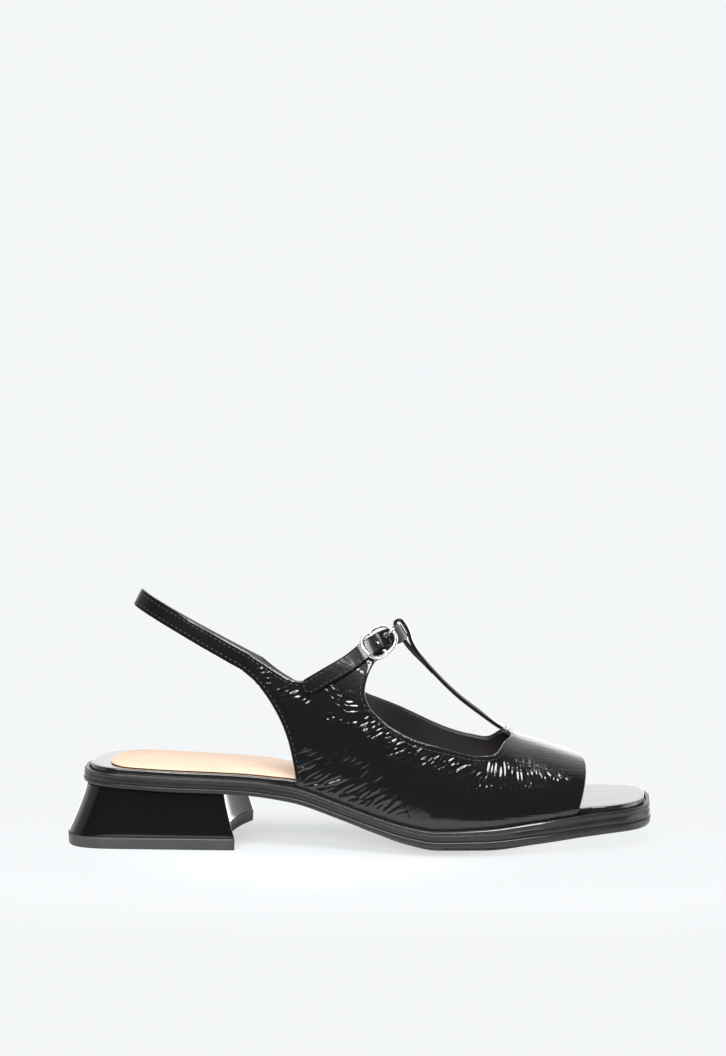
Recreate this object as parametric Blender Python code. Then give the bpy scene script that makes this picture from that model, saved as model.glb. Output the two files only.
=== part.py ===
"""Right-foot slingback shoe: open square toe, T-bar, buckled instep strap and a low block heel.

The pieces are the unit outsole, the covered heel block and its top piece, the insole with its heel
sock, the one-piece upper (vamp, quarters, T-bar and sling), the instep strap and the buckle.
Lengths are in millimetres. A station is the distance ahead of the back of the sole, y runs to the
medial side and z up from the floor. The finished shoe is centred over the world origin.
"""

import math
from collections import namedtuple

import bmesh
import bpy
import numpy as np
from mathutils import Vector
from mathutils.geometry import delaunay_2d_cdt

MM = 0.001
GAP = 0.3

# Sole and heel
SOLE_LENGTH, SOLE_BACK = 252.0, 1.8
HEEL_ROUND, HEEL_SQUARENESS, BLOCK_SQUARENESS = 27.0, 2.7, 3.4
TOE_ROUND, TOE_SQUARENESS = 15.0, 3.0
TOE_SLANT, TOE_SLANT_START = 0.17, 196.0
TRAY_DEPTH, RIM_WIDTH = 1.5, 2.5
TREAD_BORDER, TREAD_SPINE_END = 0.40, 244.5
TOP_PIECE_HEIGHT, TOP_PIECE_LIP = 5.0, 0.8
HEEL_BACK_TOP, HEEL_BACK_FOOT = 4.4, -3.2
HEEL_BREAST_TOP, HEEL_BREAST_FOOT = 68.0, 72.6
HEEL_HALF_TOP, HEEL_HALF_FOOT = 28.4, 30.4
BREAST_HOLLOW = 6.5

# Insole and sock
INSOLE_PROUD = 2.0
INSOLE_INSET_OPEN, INSOLE_INSET_LASTED = 3.3, 5.3
LASTED_FROM, LASTED_TO = (87.0, 97.0), (224.0, 232.0)
SOCK_THICK, SOCK_INSET, SOCK_FRONT = 0.7, 3.0, 121.0
SOCK_BACK, SOCK_BACK_REACH, SOCK_MEDIAL = 6.0, (6.0, 45.0), 4.0
SOCK_SLANT, SOCK_HALF, SOCK_FRONT_Y = 54.0, 27.0, -25.0

# Upper
WALL = 1.6
FEATHER_INSET, TUCK, TUCK_HEIGHT = 3.0, 1.0, 9.0
PATTERN_STEP, EDGE_STEP, WINDOW_STEP = 5.0, 4.0, 3.0
EDGE_ROWS = (3.2, 6.6)
QUARTER_BACK = 98.9
TOE_EDGE_FEATHER, TOE_EDGE_AHEAD, TOE_EDGE_CURVE = 216.5, 6.2, 3.0
TBAR_HALF, TBAR_ROOT, TBAR_TOP = 4.2, 187.0, 150.0
LOOP_ROOM, LOOP_LEAD, TAIL_SLACK = 0.75, 1.2, 0.15
SLING_WIDTH, SLING_TILT, SLING_REACH, SLING_TAPER = 8.2, 27.7, 58.6, 0.10
SLING_ROOT, MEDIAL_SLING_ROOT = (74.4, 75.4), (74.4, 70.0)

# Instep strap and buckle
STRAP_WIDTH, STRAP_THICK, STRAP_TILT = 7.4, 1.3, 30.2
STRAP_TIP = (103.5, 67.7)
STRAP_REACH, STRAP_SIDE_Y = 45.4, 28.0
STRAP_LEG, STRAP_SQUARENESS = 30.0, 2.6
MEDIAL_LEG, MEDIAL_SQUARENESS = 25.0, 2.2
STRAP_ROLL, STRAP_DROOP = 0.10, 0.0018
MEDIAL_DROP, MEDIAL_DROP_SPAN = 4.2, (20.0, 29.0)
STRAP_LIFT, LIFT_FROM, LIFT_TO = 1.6, (18.0, 33.0), 36.0
BUCKLE_AT, FRAME_SPAN = 34.8, (27.0, 40.8)
FRAME_LONG, FRAME_WIDE, FRAME_WIRE, FRAME_BOW = 8.4, 5.4, 0.9, 1.9
FRAME_SQUARENESS = 2.7
BAR_HUMP, BAR_HUMP_REACH = 0.9, 3.0
BAR_RADIUS, PRONG_RADIUS = 0.7, 0.6
PRONG_SLOT, PRONG_SLOT_RADIUS = (4.1, 5.4), 1.1
SPARE_HOLE, SPARE_HOLE_RADIUS = (-0.6, -0.5), 0.9

SoleRow = namedtuple("SoleRow", "station lateral medial tread edge rim")
SOLE_ROWS = (
    SoleRow(0.0, 27.0, 27.0, 26.5, 26.5, 32.2),
    SoleRow(20.0, 30.0, 30.0, 25.7, 25.7, 31.6),
    SoleRow(45.0, 31.0, 30.4, 24.3, 24.3, 30.5),
    SoleRow(74.0, 31.0, 27.6, 23.2, 23.4, 29.4),
    SoleRow(96.0, 31.9, 24.8, 19.5, 20.7, 27.3),
    SoleRow(118.0, 34.2, 26.8, 12.4, 14.1, 20.6),
    SoleRow(132.0, 36.4, 31.0, 6.9, 9.6, 16.0),
    SoleRow(146.0, 38.6, 36.4, 2.2, 5.8, 12.4),
    SoleRow(158.0, 39.6, 39.8, 0.0, 4.2, 10.8),
    SoleRow(178.0, 38.6, 41.6, 0.0, 4.2, 11.6),
    SoleRow(200.0, 34.8, 39.2, 2.6, 5.6, 14.0),
    SoleRow(222.0, 29.0, 34.4, 5.6, 7.2, 16.2),
    SoleRow(240.0, 23.0, 29.0, 7.0, 8.3, 17.2),
    SoleRow(252.0, 18.6, 25.0, 7.6, 8.8, 17.6),
)

# The sole's side wall from its foot up: inset from the outline, share of its height. One is a groove.
WallRow = namedtuple("WallRow", "inset share")
SOLE_WALL = (
    WallRow(1.3, 0.0),
    WallRow(0.5, 0.07),
    WallRow(0.4, 0.32),
    WallRow(1.1, 0.38),
    WallRow(0.0, 0.44),
    WallRow(0.0, 0.91),
    WallRow(0.7, 1.0),
    WallRow(RIM_WIDTH, 1.0),
)

# The last: height and side offset of its ridge, and the squareness of each cross-section.
LastRow = namedtuple("LastRow", "station ridge offset upright across taper")
LAST_ROWS = (
    LastRow(70.0, 126.0, 0.0, 3.0, 2.0, 5.6),
    LastRow(98.0, 121.4, 0.0, 3.0, 2.0, 0.0),
    LastRow(128.0, 112.0, 0.5, 3.0, 2.0, 0.0),
    LastRow(141.0, 97.6, 1.0, 2.8, 2.1, 0.0),
    LastRow(150.6, 81.5, 1.6, 2.6, 2.2, 0.0),
    LastRow(159.4, 71.3, 2.0, 2.4, 2.2, 0.0),
    LastRow(168.3, 62.8, 2.4, 2.3, 2.3, 0.0),
    LastRow(177.1, 56.0, 2.8, 2.3, 2.3, 0.0),
    LastRow(186.0, 49.6, 3.0, 2.3, 2.4, 0.0),
    LastRow(194.0, 45.2, 3.2, 2.3, 2.4, 0.0),
    LastRow(206.0, 41.4, 3.4, 2.3, 2.5, 0.0),
    LastRow(226.0, 34.8, 3.6, 2.3, 2.6, 0.0),
)

# Outlines of the upper seen from the side, each as stations and heights on one side of the last.
Outline = namedtuple("Outline", "quarter_back topline tab_front window")
LATERAL = Outline(
    quarter_back=((96.7, 39.0), (92.8, 52.0), (86.8, 62.8), (80.5, 70.4), SLING_ROOT),
    topline=((84.0, 79.2), (91.3, 74.8), (97.0, 72.2), (104.0, 72.4), (114.0, 77.4), (124.0, 82.7)),
    tab_front=((129.6, 85.6), (132.0, 81.4)),
    window=((130.6, 77.8), (128.3, 72.0), (128.0, 65.0), (131.5, 59.2), (141.0, 51.8), (150.5, 47.4),
            (163.0, 43.8), (176.0, 40.9), (182.0, 41.2)),
)
MEDIAL = Outline(
    quarter_back=((97.2, 38.0), (93.2, 50.0), (87.2, 59.8), (80.5, 66.6), MEDIAL_SLING_ROOT),
    topline=((84.0, 72.4), (91.3, 67.6), (97.0, 65.0), (104.0, 64.8), (112.0, 68.8)),
    tab_front=((118.0, 72.2), (122.6, 70.6)),
    window=((120.6, 68.0), (120.8, 64.8), (124.4, 61.8), (131.5, 58.0), (141.0, 53.8), (150.5, 49.8),
            (163.0, 44.4), (176.0, 40.2), (182.0, 40.6)),
)
# The front corner of the window, as stations and distances from the ridge.
WINDOW_CORNER = ((187.0, 20.0), (190.2, 9.4), (189.6, 5.4))

LATERAL_SIDE, MEDIAL_SIDE = -1, 1


def pchip(xs, ys, at):
    """Smooth curve through the points that never overshoots them."""
    xs, ys, at = (np.asarray(v, float) for v in (xs, ys, at))
    step = np.diff(xs)
    rise = np.diff(ys) / step
    slope = np.zeros_like(ys)
    slope[0], slope[-1] = rise[0], rise[-1]
    same_way = rise[:-1] * rise[1:] > 0
    before, after = rise[:-1][same_way], rise[1:][same_way]
    near, far = step[:-1][same_way], step[1:][same_way]
    weight_a, weight_b = 2 * far + near, far + 2 * near
    slope[1:-1][same_way] = (weight_a + weight_b) / (weight_a / before + weight_b / after)
    i = np.clip(np.searchsorted(xs, at) - 1, 0, len(step) - 1)
    t = (at - xs[i]) / step[i]
    return (
        ys[i] * (1 + 2 * t) * (1 - t) ** 2
        + ys[i + 1] * t**2 * (3 - 2 * t)
        + step[i] * t * (1 - t) * (slope[i] * (1 - t) - slope[i + 1] * t)
    )


def column(rows, name, at):
    return pchip([r.station for r in rows], [getattr(r, name) for r in rows], at)


def smoothstep(low, high, value):
    t = np.clip((np.asarray(value, float) - low) / (high - low), 0, 1)
    return t * t * (3 - 2 * t)


def spline(knots, values, at):
    """Natural cubic spline through the values at the knots."""
    step = np.diff(knots)
    rise = np.diff(values) / step
    system, right = np.eye(len(knots)), np.zeros(len(knots))
    for i in range(1, len(knots) - 1):
        system[i, i - 1 : i + 2] = step[i - 1], 2 * (step[i - 1] + step[i]), step[i]
        right[i] = 6 * (rise[i] - rise[i - 1])
    bend = np.linalg.solve(system, right)
    i = np.clip(np.searchsorted(knots, at) - 1, 0, len(step) - 1)
    past, left, h = at - knots[i], knots[i + 1] - at, step[i]
    return (
        (bend[i] * left**3 + bend[i + 1] * past**3) / (6 * h)
        + (values[i] / h - bend[i] * h / 6) * left
        + (values[i + 1] / h - bend[i + 1] * h / 6) * past
    )


def through(points, spacing):
    """Points at about even spacing along a smooth curve through the given ones."""
    points = np.asarray(points, float)
    knots = np.concatenate([[0], np.cumsum(np.linalg.norm(np.diff(points, axis=0), axis=1))])
    count = max(2, round(knots[-1] / spacing) + 1)
    at = np.linspace(0, knots[-1], count)
    return np.stack([spline(knots, points[:, k], at) for k in range(points.shape[1])], axis=1)


# Meshes and materials
def make_material(name, colour, roughness, metallic=0.0, coat=0.0):
    material = bpy.data.materials.new(name)
    material.use_nodes = True
    shader = material.node_tree.nodes["Principled BSDF"]
    shader.inputs["Base Color"].default_value = (*colour, 1.0)
    shader.inputs["Roughness"].default_value = roughness
    shader.inputs["Metallic"].default_value = metallic
    shader.inputs["Coat Weight"].default_value = coat
    return material


def make_object(name, mesh_maker, material):
    """An object from a bmesh in millimetres, moved so that the shoe's box is centred on the origin."""
    mesh = bpy.data.meshes.new(name)
    mesh_maker.verts.ensure_lookup_table()
    for vert in mesh_maker.verts:
        vert.co = (vert.co - CENTRE) * MM
    mesh_maker.to_mesh(mesh)
    mesh_maker.free()
    mesh.materials.append(material)
    mesh.shade_smooth()
    mesh.set_sharp_from_angle(angle=math.radians(40))
    obj = bpy.data.objects.new(name, mesh)
    bpy.context.scene.collection.objects.link(obj)
    return obj


def cap(maker, ring):
    """Closes a ring with strips between the points that face each other across it."""
    maker.faces.new((ring[0], ring[1], ring[-1]))
    low, high = 1, len(ring) - 1
    while high - low > 2:
        maker.faces.new((ring[low], ring[low + 1], ring[high - 1], ring[high]))
        low, high = low + 1, high - 1
    if high - low == 2:
        maker.faces.new((ring[low], ring[low + 1], ring[high]))


def stack(name, rings, material):
    """A solid through closed rings with as many points each, capped at the first and the last."""
    maker = bmesh.new()
    levels = [[maker.verts.new(p) for p in ring] for ring in rings]
    for low, high in zip(levels, levels[1:]):
        for i in range(len(low)):
            k = (i + 1) % len(low)
            maker.faces.new((low[i], low[k], high[k], high[i]))
    cap(maker, levels[0])
    cap(maker, levels[-1])
    bmesh.ops.recalc_face_normals(maker, faces=maker.faces)
    return make_object(name, maker, material)


# Sole outline
def half_outline(side):
    """Plan points of one side of the sole, from the middle of the heel to the middle of the toe."""
    quarter = np.radians(np.linspace(0, 90, 10))
    heel_power, toe_power = 2 / HEEL_SQUARENESS, 2 / TOE_SQUARENESS
    toe_start = SOLE_LENGTH - TOE_ROUND
    middle = np.linspace(HEEL_ROUND, toe_start, 36)
    heel = SOLE_BACK + (HEEL_ROUND - SOLE_BACK) * (1 - np.cos(quarter) ** heel_power)
    toe = toe_start + TOE_ROUND * np.sin(quarter) ** toe_power
    station = np.concatenate([heel, middle[1:-1], toe])
    narrowing = np.concatenate(
        [np.sin(quarter) ** heel_power, np.ones(len(middle) - 2), np.cos(quarter) ** toe_power]
    )
    breadth = column(SOLE_ROWS, "lateral" if side == LATERAL_SIDE else "medial", station)
    y = side * breadth * np.where(narrowing < 1e-9, 0, narrowing)
    slant = TOE_SLANT * y * smoothstep(TOE_SLANT_START, SOLE_LENGTH, station)
    return np.stack([station + slant, y], axis=1)


SIDES = {side: half_outline(side) for side in (LATERAL_SIDE, MEDIAL_SIDE)}
OUTLINE = np.concatenate([SIDES[LATERAL_SIDE], SIDES[MEDIAL_SIDE][-2:0:-1]])
HEEL_TIP_STATION = HEEL_BACK_FOOT - TOP_PIECE_LIP
CENTRE = Vector(
    (
        (HEEL_TIP_STATION + OUTLINE[:, 0].max()) / 2,
        (OUTLINE[:, 1].min() + OUTLINE[:, 1].max()) / 2,
        0,
    )
)


def half_breadth(station, side):
    """Half-breadth of the sole's outline at a station."""
    line = SIDES[side]
    return np.interp(station, line[:, 0], side * line[:, 1])


def inset_plan(plan, inset):
    """A closed plan curve moved inwards by an inset, one value or one for each point."""
    along = np.roll(plan, -1, axis=0) - np.roll(plan, 1, axis=0)
    along /= np.linalg.norm(along, axis=1, keepdims=True)
    inward = np.stack([along[:, 1], -along[:, 0]], axis=1)
    if np.sum((plan.mean(axis=0) - plan) * inward) < 0:
        inward = -inward
    return plan + inward * np.broadcast_to(inset, len(plan))[:, None]


def towards_spine(plan, share):
    """A closed plan curve drawn in towards the sole's middle line by a share of its half-breadth."""
    along = np.clip(plan[:, 0], HEEL_ROUND, TREAD_SPINE_END)
    middle = (half_breadth(along, MEDIAL_SIDE) - half_breadth(along, LATERAL_SIDE)) / 2
    return plan + (np.stack([along, middle], axis=1) - plan) * share


def raised(plan, height):
    return np.column_stack([plan, np.broadcast_to(height, len(plan))])


# Outsole: a rolled tread, a grooved side wall, and a rim round the tray that holds the insole
def make_outsole(material):
    tread_plan = towards_spine(OUTLINE, TREAD_BORDER)
    rings = [raised(tread_plan, column(SOLE_ROWS, "tread", tread_plan[:, 0]))]
    for inset, share in SOLE_WALL:
        plan = inset_plan(OUTLINE, inset)
        edge = column(SOLE_ROWS, "edge", plan[:, 0])
        rim = column(SOLE_ROWS, "rim", plan[:, 0])
        rings.append(raised(plan, edge + (rim - edge) * share))
    tray_plan = inset_plan(OUTLINE, RIM_WIDTH + 0.2)
    rings.append(raised(tray_plan, column(SOLE_ROWS, "rim", tray_plan[:, 0]) - TRAY_DEPTH))
    return stack("outsole", rings, material)


# Insole board with its cover, and the leather sock over its heel end
def insole_plan(extra):
    station = OUTLINE[:, 0]
    under_upper = smoothstep(*LASTED_FROM, station) * (1 - smoothstep(*LASTED_TO, station))
    inset = INSOLE_INSET_OPEN + (INSOLE_INSET_LASTED - INSOLE_INSET_OPEN) * under_upper
    return inset_plan(OUTLINE, inset + extra)


def make_insole(material):
    rings = []
    for extra, above_rim in ((0.0, GAP - TRAY_DEPTH), (0.0, INSOLE_PROUD - 0.6), (0.6, INSOLE_PROUD)):
        plan = insole_plan(extra)
        rings.append(raised(plan, column(SOLE_ROWS, "rim", plan[:, 0]) + above_rim))
    return stack("insole", rings, material)


def make_sock(material):
    rings = []
    for extra, above_base in ((0.0, 0.0), (0.0, SOCK_THICK - 0.2), (0.35, SOCK_THICK)):
        plan = insole_plan(SOCK_INSET + extra)
        plan[:, 0] += SOCK_BACK * (1 - smoothstep(*SOCK_BACK_REACH, plan[:, 0]))
        plan[:, 1] -= SOCK_MEDIAL * smoothstep(0.0, SOCK_HALF, plan[:, 1])
        half = len(plan) // 2
        kept = int(np.sum(plan[:half, 0] < SOCK_FRONT))
        lateral, medial = plan[:kept], plan[-1:-kept:-1]
        slant = np.clip((SOCK_FRONT - medial[:, 0]) / SOCK_SLANT, 0, 1) ** 0.62
        reach = SOCK_FRONT_Y + (SOCK_HALF - SOCK_FRONT_Y) * slant - extra
        medial[:, 1] = np.minimum(medial[:, 1], reach)
        sock = np.concatenate([lateral, medial[::-1]])
        base = column(SOLE_ROWS, "rim", sock[:, 0]) + INSOLE_PROUD + GAP
        rings.append(raised(sock, base + above_base))
    return stack("sock", rings, material)


# Heel block and top piece: a flared block with a squared round back and a hollow breast
def heel_plan(share_down, lip=0.0):
    """Plan of the heel, from its top under the sole (0) to its foot (1)."""
    back = HEEL_BACK_TOP + (HEEL_BACK_FOOT - HEEL_BACK_TOP) * share_down - lip
    breast = HEEL_BREAST_TOP + (HEEL_BREAST_FOOT - HEEL_BREAST_TOP) * share_down + 0.5 * lip
    half = HEEL_HALF_TOP + (HEEL_HALF_FOOT - HEEL_HALF_TOP) * share_down + lip
    power = 2 / BLOCK_SQUARENESS
    turn = np.radians(np.linspace(0, 90, 12))
    round_back = np.stack([back + HEEL_ROUND * (1 - np.cos(turn) ** power), half * np.sin(turn) ** power], axis=1)
    flank = np.stack([np.linspace(back + HEEL_ROUND, breast, 7), np.full(7, half)], axis=1)[1:]
    across = np.linspace(half, 0, 8)[1:]
    hollow = BREAST_HOLLOW * (1 - (across / half) ** 2)
    side = np.concatenate([round_back, flank, np.stack([breast - hollow, across], axis=1)])
    side[0, 1] = 0.0
    return np.concatenate([side * (1, LATERAL_SIDE), side[-2:0:-1]])


def make_heel(material):
    rings = []
    block_foot = TOP_PIECE_HEIGHT + GAP
    for share in (1.0, 0.75, 0.5, 0.25, 0.0):
        sweep = share**1.25
        plan = heel_plan(sweep)
        seat = column(SOLE_ROWS, "tread", plan[:, 0]) - GAP
        rings.append(raised(plan, block_foot + (seat - block_foot) * (1 - share)))
    return stack("heel_block", rings, material)


def make_top_piece(material):
    profile = ((-0.4, 0.0), (0.3, 0.7), (TOP_PIECE_LIP, TOP_PIECE_HEIGHT - 1.0), (0.5, TOP_PIECE_HEIGHT))
    return stack("heel_top_piece", [raised(heel_plan(1.0, lip), z) for lip, z in profile], material)


# The last that the upper is drawn over
def last_section(station, samples=40):
    """Points of one cross-section, from the lateral feather over the ridge to the medial feather."""
    ridge, offset, upright, across, taper = (
        float(column(LAST_ROWS, name, station)) for name in LastRow._fields[1:]
    )
    base = float(column(SOLE_ROWS, "rim", station)) - TRAY_DEPTH + GAP
    angle = np.radians(np.linspace(0, 90, samples))
    height = base + (ridge - base) * np.sin(angle) ** (2 / upright)
    tuck = TUCK * np.clip(1 - (height - base) / TUCK_HEIGHT, 0, 1) ** 2
    halves = []
    for side in (LATERAL_SIDE, MEDIAL_SIDE):
        feather = side * (float(half_breadth(station, side)) - FEATHER_INSET + TUCK - taper)
        y = offset + (feather - offset) * np.cos(angle) ** (2 / across) - side * tuck
        halves.append(np.stack([y, height], axis=1))
    return np.concatenate([halves[0], halves[1][-2::-1]])


def girths(section):
    """Distance of each section point from the ridge, lateral below zero."""
    run = np.concatenate([[0], np.cumsum(np.linalg.norm(np.diff(section, axis=0), axis=1))])
    return run - run[len(run) // 2]


def lasted(station, girth):
    """The point of the last's surface at a station and a distance round from its ridge."""
    section = last_section(station)
    run = girths(section)
    return np.array([station, np.interp(girth, run, section[:, 0]), np.interp(girth, run, section[:, 1])])


def girth_at_height(station, height, side):
    section = last_section(station)
    run = girths(section)
    middle = len(run) // 2
    if side == LATERAL_SIDE:
        return np.interp(height, section[: middle + 1, 1], run[: middle + 1])
    return np.interp(height, section[middle:, 1][::-1], run[middle:][::-1])


def girth_at_breadth(station, distance, side):
    section = last_section(station)
    offset = float(column(LAST_ROWS, "offset", station))
    return np.interp(offset + side * distance, section[:, 0], girths(section))


def last_breadth(station, height, side):
    return lasted(station, girth_at_height(station, height, side))[1]


# Upper: a flat pattern of stations and girths, cut to its outline and drawn over the last
def toe_edge_station(share):
    """Station of the toe opening's edge, from the ridge (0) to the feather (1)."""
    return TOE_EDGE_FEATHER + TOE_EDGE_AHEAD * (1 - share**TOE_EDGE_CURVE)


def sling_frame():
    """Directions along the sling, back and up, and across its width, in the side view."""
    tilt = math.radians(SLING_TILT)
    return np.array([-math.cos(tilt), math.sin(tilt)]), np.array([math.sin(tilt), math.cos(tilt)])


def sling_root(side, steps=4):
    """Side-view points across the sling where it leaves the quarter, from its lower edge up."""
    _, across = sling_frame()
    low = np.array(SLING_ROOT if side == LATERAL_SIDE else MEDIAL_SLING_ROOT)
    return [low + across * SLING_WIDTH * k / (steps - 1) for k in range(steps)]


def half_pattern(side):
    """Outline of one half of the pattern, from the toe edge at the ridge round to the T-bar root."""
    outline = LATERAL if side == LATERAL_SIDE else MEDIAL
    share = np.linspace(0, 1, 12)
    toe_station = toe_edge_station(share)
    feather = [girths(last_section(s))[0 if side == LATERAL_SIDE else -1] for s in toe_station]
    edges = [np.stack([toe_station, share * np.array(feather)], axis=1)]
    along_sole = np.linspace(TOE_EDGE_FEATHER, QUARTER_BACK, round((TOE_EDGE_FEATHER - QUARTER_BACK) / EDGE_STEP))
    sole_girth = [girths(last_section(s))[0 if side == LATERAL_SIDE else -1] for s in along_sole]
    edges.append(np.stack([along_sole, sole_girth], axis=1)[1:])
    foot = (QUARTER_BACK, lasted(QUARTER_BACK, sole_girth[-1])[2])
    back = through((foot, *outline.quarter_back), EDGE_STEP)[1:]
    root = np.array(sling_root(side))[1:]
    top = through((root[-1], *outline.topline, outline.tab_front[0]), EDGE_STEP)[1:]
    for s, z in np.concatenate([back, root, top]):
        edges.append(np.array([[s, girth_at_height(s, z, side)]]))
    window = [(s, girth_at_height(s, z, side)) for s, z in (*outline.tab_front, *outline.window)]
    for s, distance in (*WINDOW_CORNER, (TBAR_ROOT, TBAR_HALF)):
        window.append((s, girth_at_breadth(s, distance, side)))
    edges.append(through(window, WINDOW_STEP)[1:])
    return np.concatenate(edges)


def cut_pattern():
    """Triangles of the flat pattern inside its outline, as points and faces."""
    lateral, medial = half_pattern(LATERAL_SIDE), half_pattern(MEDIAL_SIDE)
    tbar_root = [(TBAR_ROOT, g) for g in np.linspace(lateral[-1, 1], medial[-1, 1], 5)[1:-1]]
    outline = np.concatenate([lateral, tbar_root, medial[:0:-1]])
    border = [(i, (i + 1) % len(outline)) for i in range(len(outline))]
    low, high = outline.min(axis=0), outline.max(axis=0)
    inner = []
    for depth in EDGE_ROWS:
        for point in inset_plan(outline, depth):
            if np.linalg.norm(outline - point, axis=1).min() > 0.9 * depth:
                inner.append(point)
    fixed = np.concatenate([outline, inner])
    for row, girth in enumerate(np.arange(low[1], high[1], PATTERN_STEP * 0.87)):
        for station in np.arange(low[0] + PATTERN_STEP * 0.5 * (row % 2), high[0], PATTERN_STEP):
            if np.linalg.norm(fixed - (station, girth), axis=1).min() > 0.62 * PATTERN_STEP:
                inner.append((station, girth))
    points = [Vector(p) for p in np.concatenate([outline, inner])]
    inside_only = 1
    flat, _, faces, *_ = delaunay_2d_cdt(points, border, [], inside_only, 1e-4)
    return np.array([tuple(p) for p in flat]), faces


def add_strip(maker, rows):
    """Quads along a strip of rows, each row a list of points across it."""
    grid = [[maker.verts.new(p) for p in row] for row in rows]
    for row, after in zip(grid, grid[1:]):
        for k in range(len(row) - 1):
            maker.faces.new((row[k], row[k + 1], after[k + 1], after[k]))


def tbar_profile():
    """Side-view line of the T-bar's outer face: up the ridge, over the strap and back under itself."""
    stations = np.linspace(TBAR_ROOT, TBAR_TOP, 10)
    line = [np.array([s, float(column(LAST_ROWS, "ridge", s))]) for s in stations]
    forward, up = strap_directions()
    core = strap_side_point(STRAP_REACH + STRAP_THICK / 2)
    outer = STRAP_THICK / 2 + LOOP_ROOM + WALL
    reach = STRAP_WIDTH / 2 + LOOP_ROOM
    line.append(core + outer * forward - LOOP_LEAD * up)
    for turn in np.radians(np.linspace(0, 180, 8)):
        line.append(core + reach * up + outer * (math.cos(turn) * forward + math.sin(turn) * up))
    line.append(core - outer * forward)
    line.append(core - outer * forward - reach * up)
    top = len(stations) - 1
    ahead = line[top - 1] - line[top + 1]
    inward = np.array([ahead[1], -ahead[0]]) / np.linalg.norm(ahead)
    line.append(line[top] + (2 * WALL + GAP + TAIL_SLACK) * inward)
    return line


def make_upper(material):
    maker = bmesh.new()
    flat, faces = cut_pattern()
    used = sorted({i for face in faces for i in face})
    verts = {i: maker.verts.new(lasted(*flat[i])) for i in used}
    for face in faces:
        maker.faces.new([verts[i] for i in face])

    # T-bar, folded over the instep strap
    root = [lasted(TBAR_ROOT, g) for g in tbar_girths()]
    profile = tbar_profile()
    middle = np.array([TBAR_ROOT, float(column(LAST_ROWS, "offset", TBAR_ROOT))])
    rows = [root]
    for i, (station, height) in enumerate(profile[1:], start=1):
        offset = float(column(LAST_ROWS, "offset", max(station, TBAR_TOP - 10)))
        fade = max(0.0, 1 - i / 6)
        row = []
        for point in root:
            from_middle = point[1] - middle[1]
            sag = (point[2] - profile[0][1]) * fade
            row.append((station, offset + from_middle, height + sag))
        rows.append(row)
    add_strip(maker, rows)

    # Sling, a strap bent round the heel in a tilted plane
    back, across = sling_frame()
    roots = {side: [lasted(s, girth_at_height(s, z, side)) for s, z in sling_root(side)] for side in SIDES}
    rows = []
    for side, turns in ((LATERAL_SIDE, np.linspace(0, 90, 15)), (MEDIAL_SIDE, np.linspace(90, 0, 15)[1:])):
        for turn in np.radians(turns):
            run = SLING_REACH * math.sin(turn)
            row = []
            for point in roots[side]:
                half = (abs(point[1]) - SLING_TAPER * run) * math.cos(turn)
                station, height = point[[0, 2]] + back * run
                if side == MEDIAL_SIDE:
                    height += (SLING_ROOT[1] - MEDIAL_SLING_ROOT[1]) * (1 - math.cos(turn))
                row.append((station, side * half if half > 1e-6 else 0.0, height))
            rows.append(row)
    add_strip(maker, rows)

    bmesh.ops.remove_doubles(maker, verts=maker.verts, dist=0.02)
    bmesh.ops.recalc_face_normals(maker, faces=maker.faces)
    face_out_from_last(maker)
    obj = make_object("upper", maker, material)
    wall = obj.modifiers.new("wall", "SOLIDIFY")
    wall.thickness = WALL * MM
    wall.offset = -1.0
    return obj


def tbar_girths():
    edges = [girth_at_breadth(TBAR_ROOT, TBAR_HALF, side) for side in (LATERAL_SIDE, MEDIAL_SIDE)]
    return np.linspace(edges[0], edges[1], 5)


def face_out_from_last(maker):
    """Turns a sheet's faces so that the lateral quarter faces away from the shoe's middle."""
    maker.faces.ensure_lookup_table()
    lowest = min(maker.faces, key=lambda face: face.calc_center_median().y)
    if lowest.normal.y > 0:
        bmesh.ops.reverse_faces(maker, faces=maker.faces)


# Instep strap: from the medial quarter through the T-bar's loop to the buckle and the lateral quarter
def strap_directions():
    """Outward at the front of the instep, and across the strap's width, in the side view."""
    tilt = math.radians(STRAP_TILT)
    return np.array([math.cos(tilt), math.sin(tilt)]), np.array([-math.sin(tilt), math.cos(tilt)])


def strap_side_point(run):
    forward, up = strap_directions()
    lift = STRAP_LIFT * smoothstep(*LIFT_FROM, run) * (1 - smoothstep(LIFT_TO, STRAP_REACH, run))
    return np.array(STRAP_TIP) + forward * run + up * lift


def strap_drop(y):
    """How far the strap lies below its middle plane, which leans down to the lower medial quarter."""
    return STRAP_ROLL * y + STRAP_DROOP * y * y + MEDIAL_DROP * float(smoothstep(*MEDIAL_DROP_SPAN, y))


def strap_bend(side):
    """Run of the straight leg on one side, and how square the bend after it is."""
    return (STRAP_LEG, STRAP_SQUARENESS) if side == LATERAL_SIDE else (MEDIAL_LEG, MEDIAL_SQUARENESS)


def strap_row(run, side, across):
    """Inner-face points across the strap at a run from its end, on one side of the instep."""
    _, up = strap_directions()
    leg, squareness = strap_bend(side)
    front = max(0.0, run - leg) / (STRAP_REACH - leg)
    narrowing = max(0.0, 1 - front**squareness) ** (1 / squareness)
    offset = float(column(LAST_ROWS, "offset", TBAR_TOP - 10))
    row = []
    for k in across:
        station, height = strap_side_point(run) + up * k
        leg_station, leg_height = strap_side_point(min(run, leg)) + up * k
        y = last_breadth(leg_station, leg_height - strap_drop(side * STRAP_SIDE_Y), side) + side * GAP
        y = offset + (y - offset) * narrowing
        if side == LATERAL_SIDE:
            y -= BAR_HUMP * math.exp(-(((run - BUCKLE_AT) / BAR_HUMP_REACH) ** 2))
        row.append(np.array([station, y, height - strap_drop(y)]))
    return row


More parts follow.
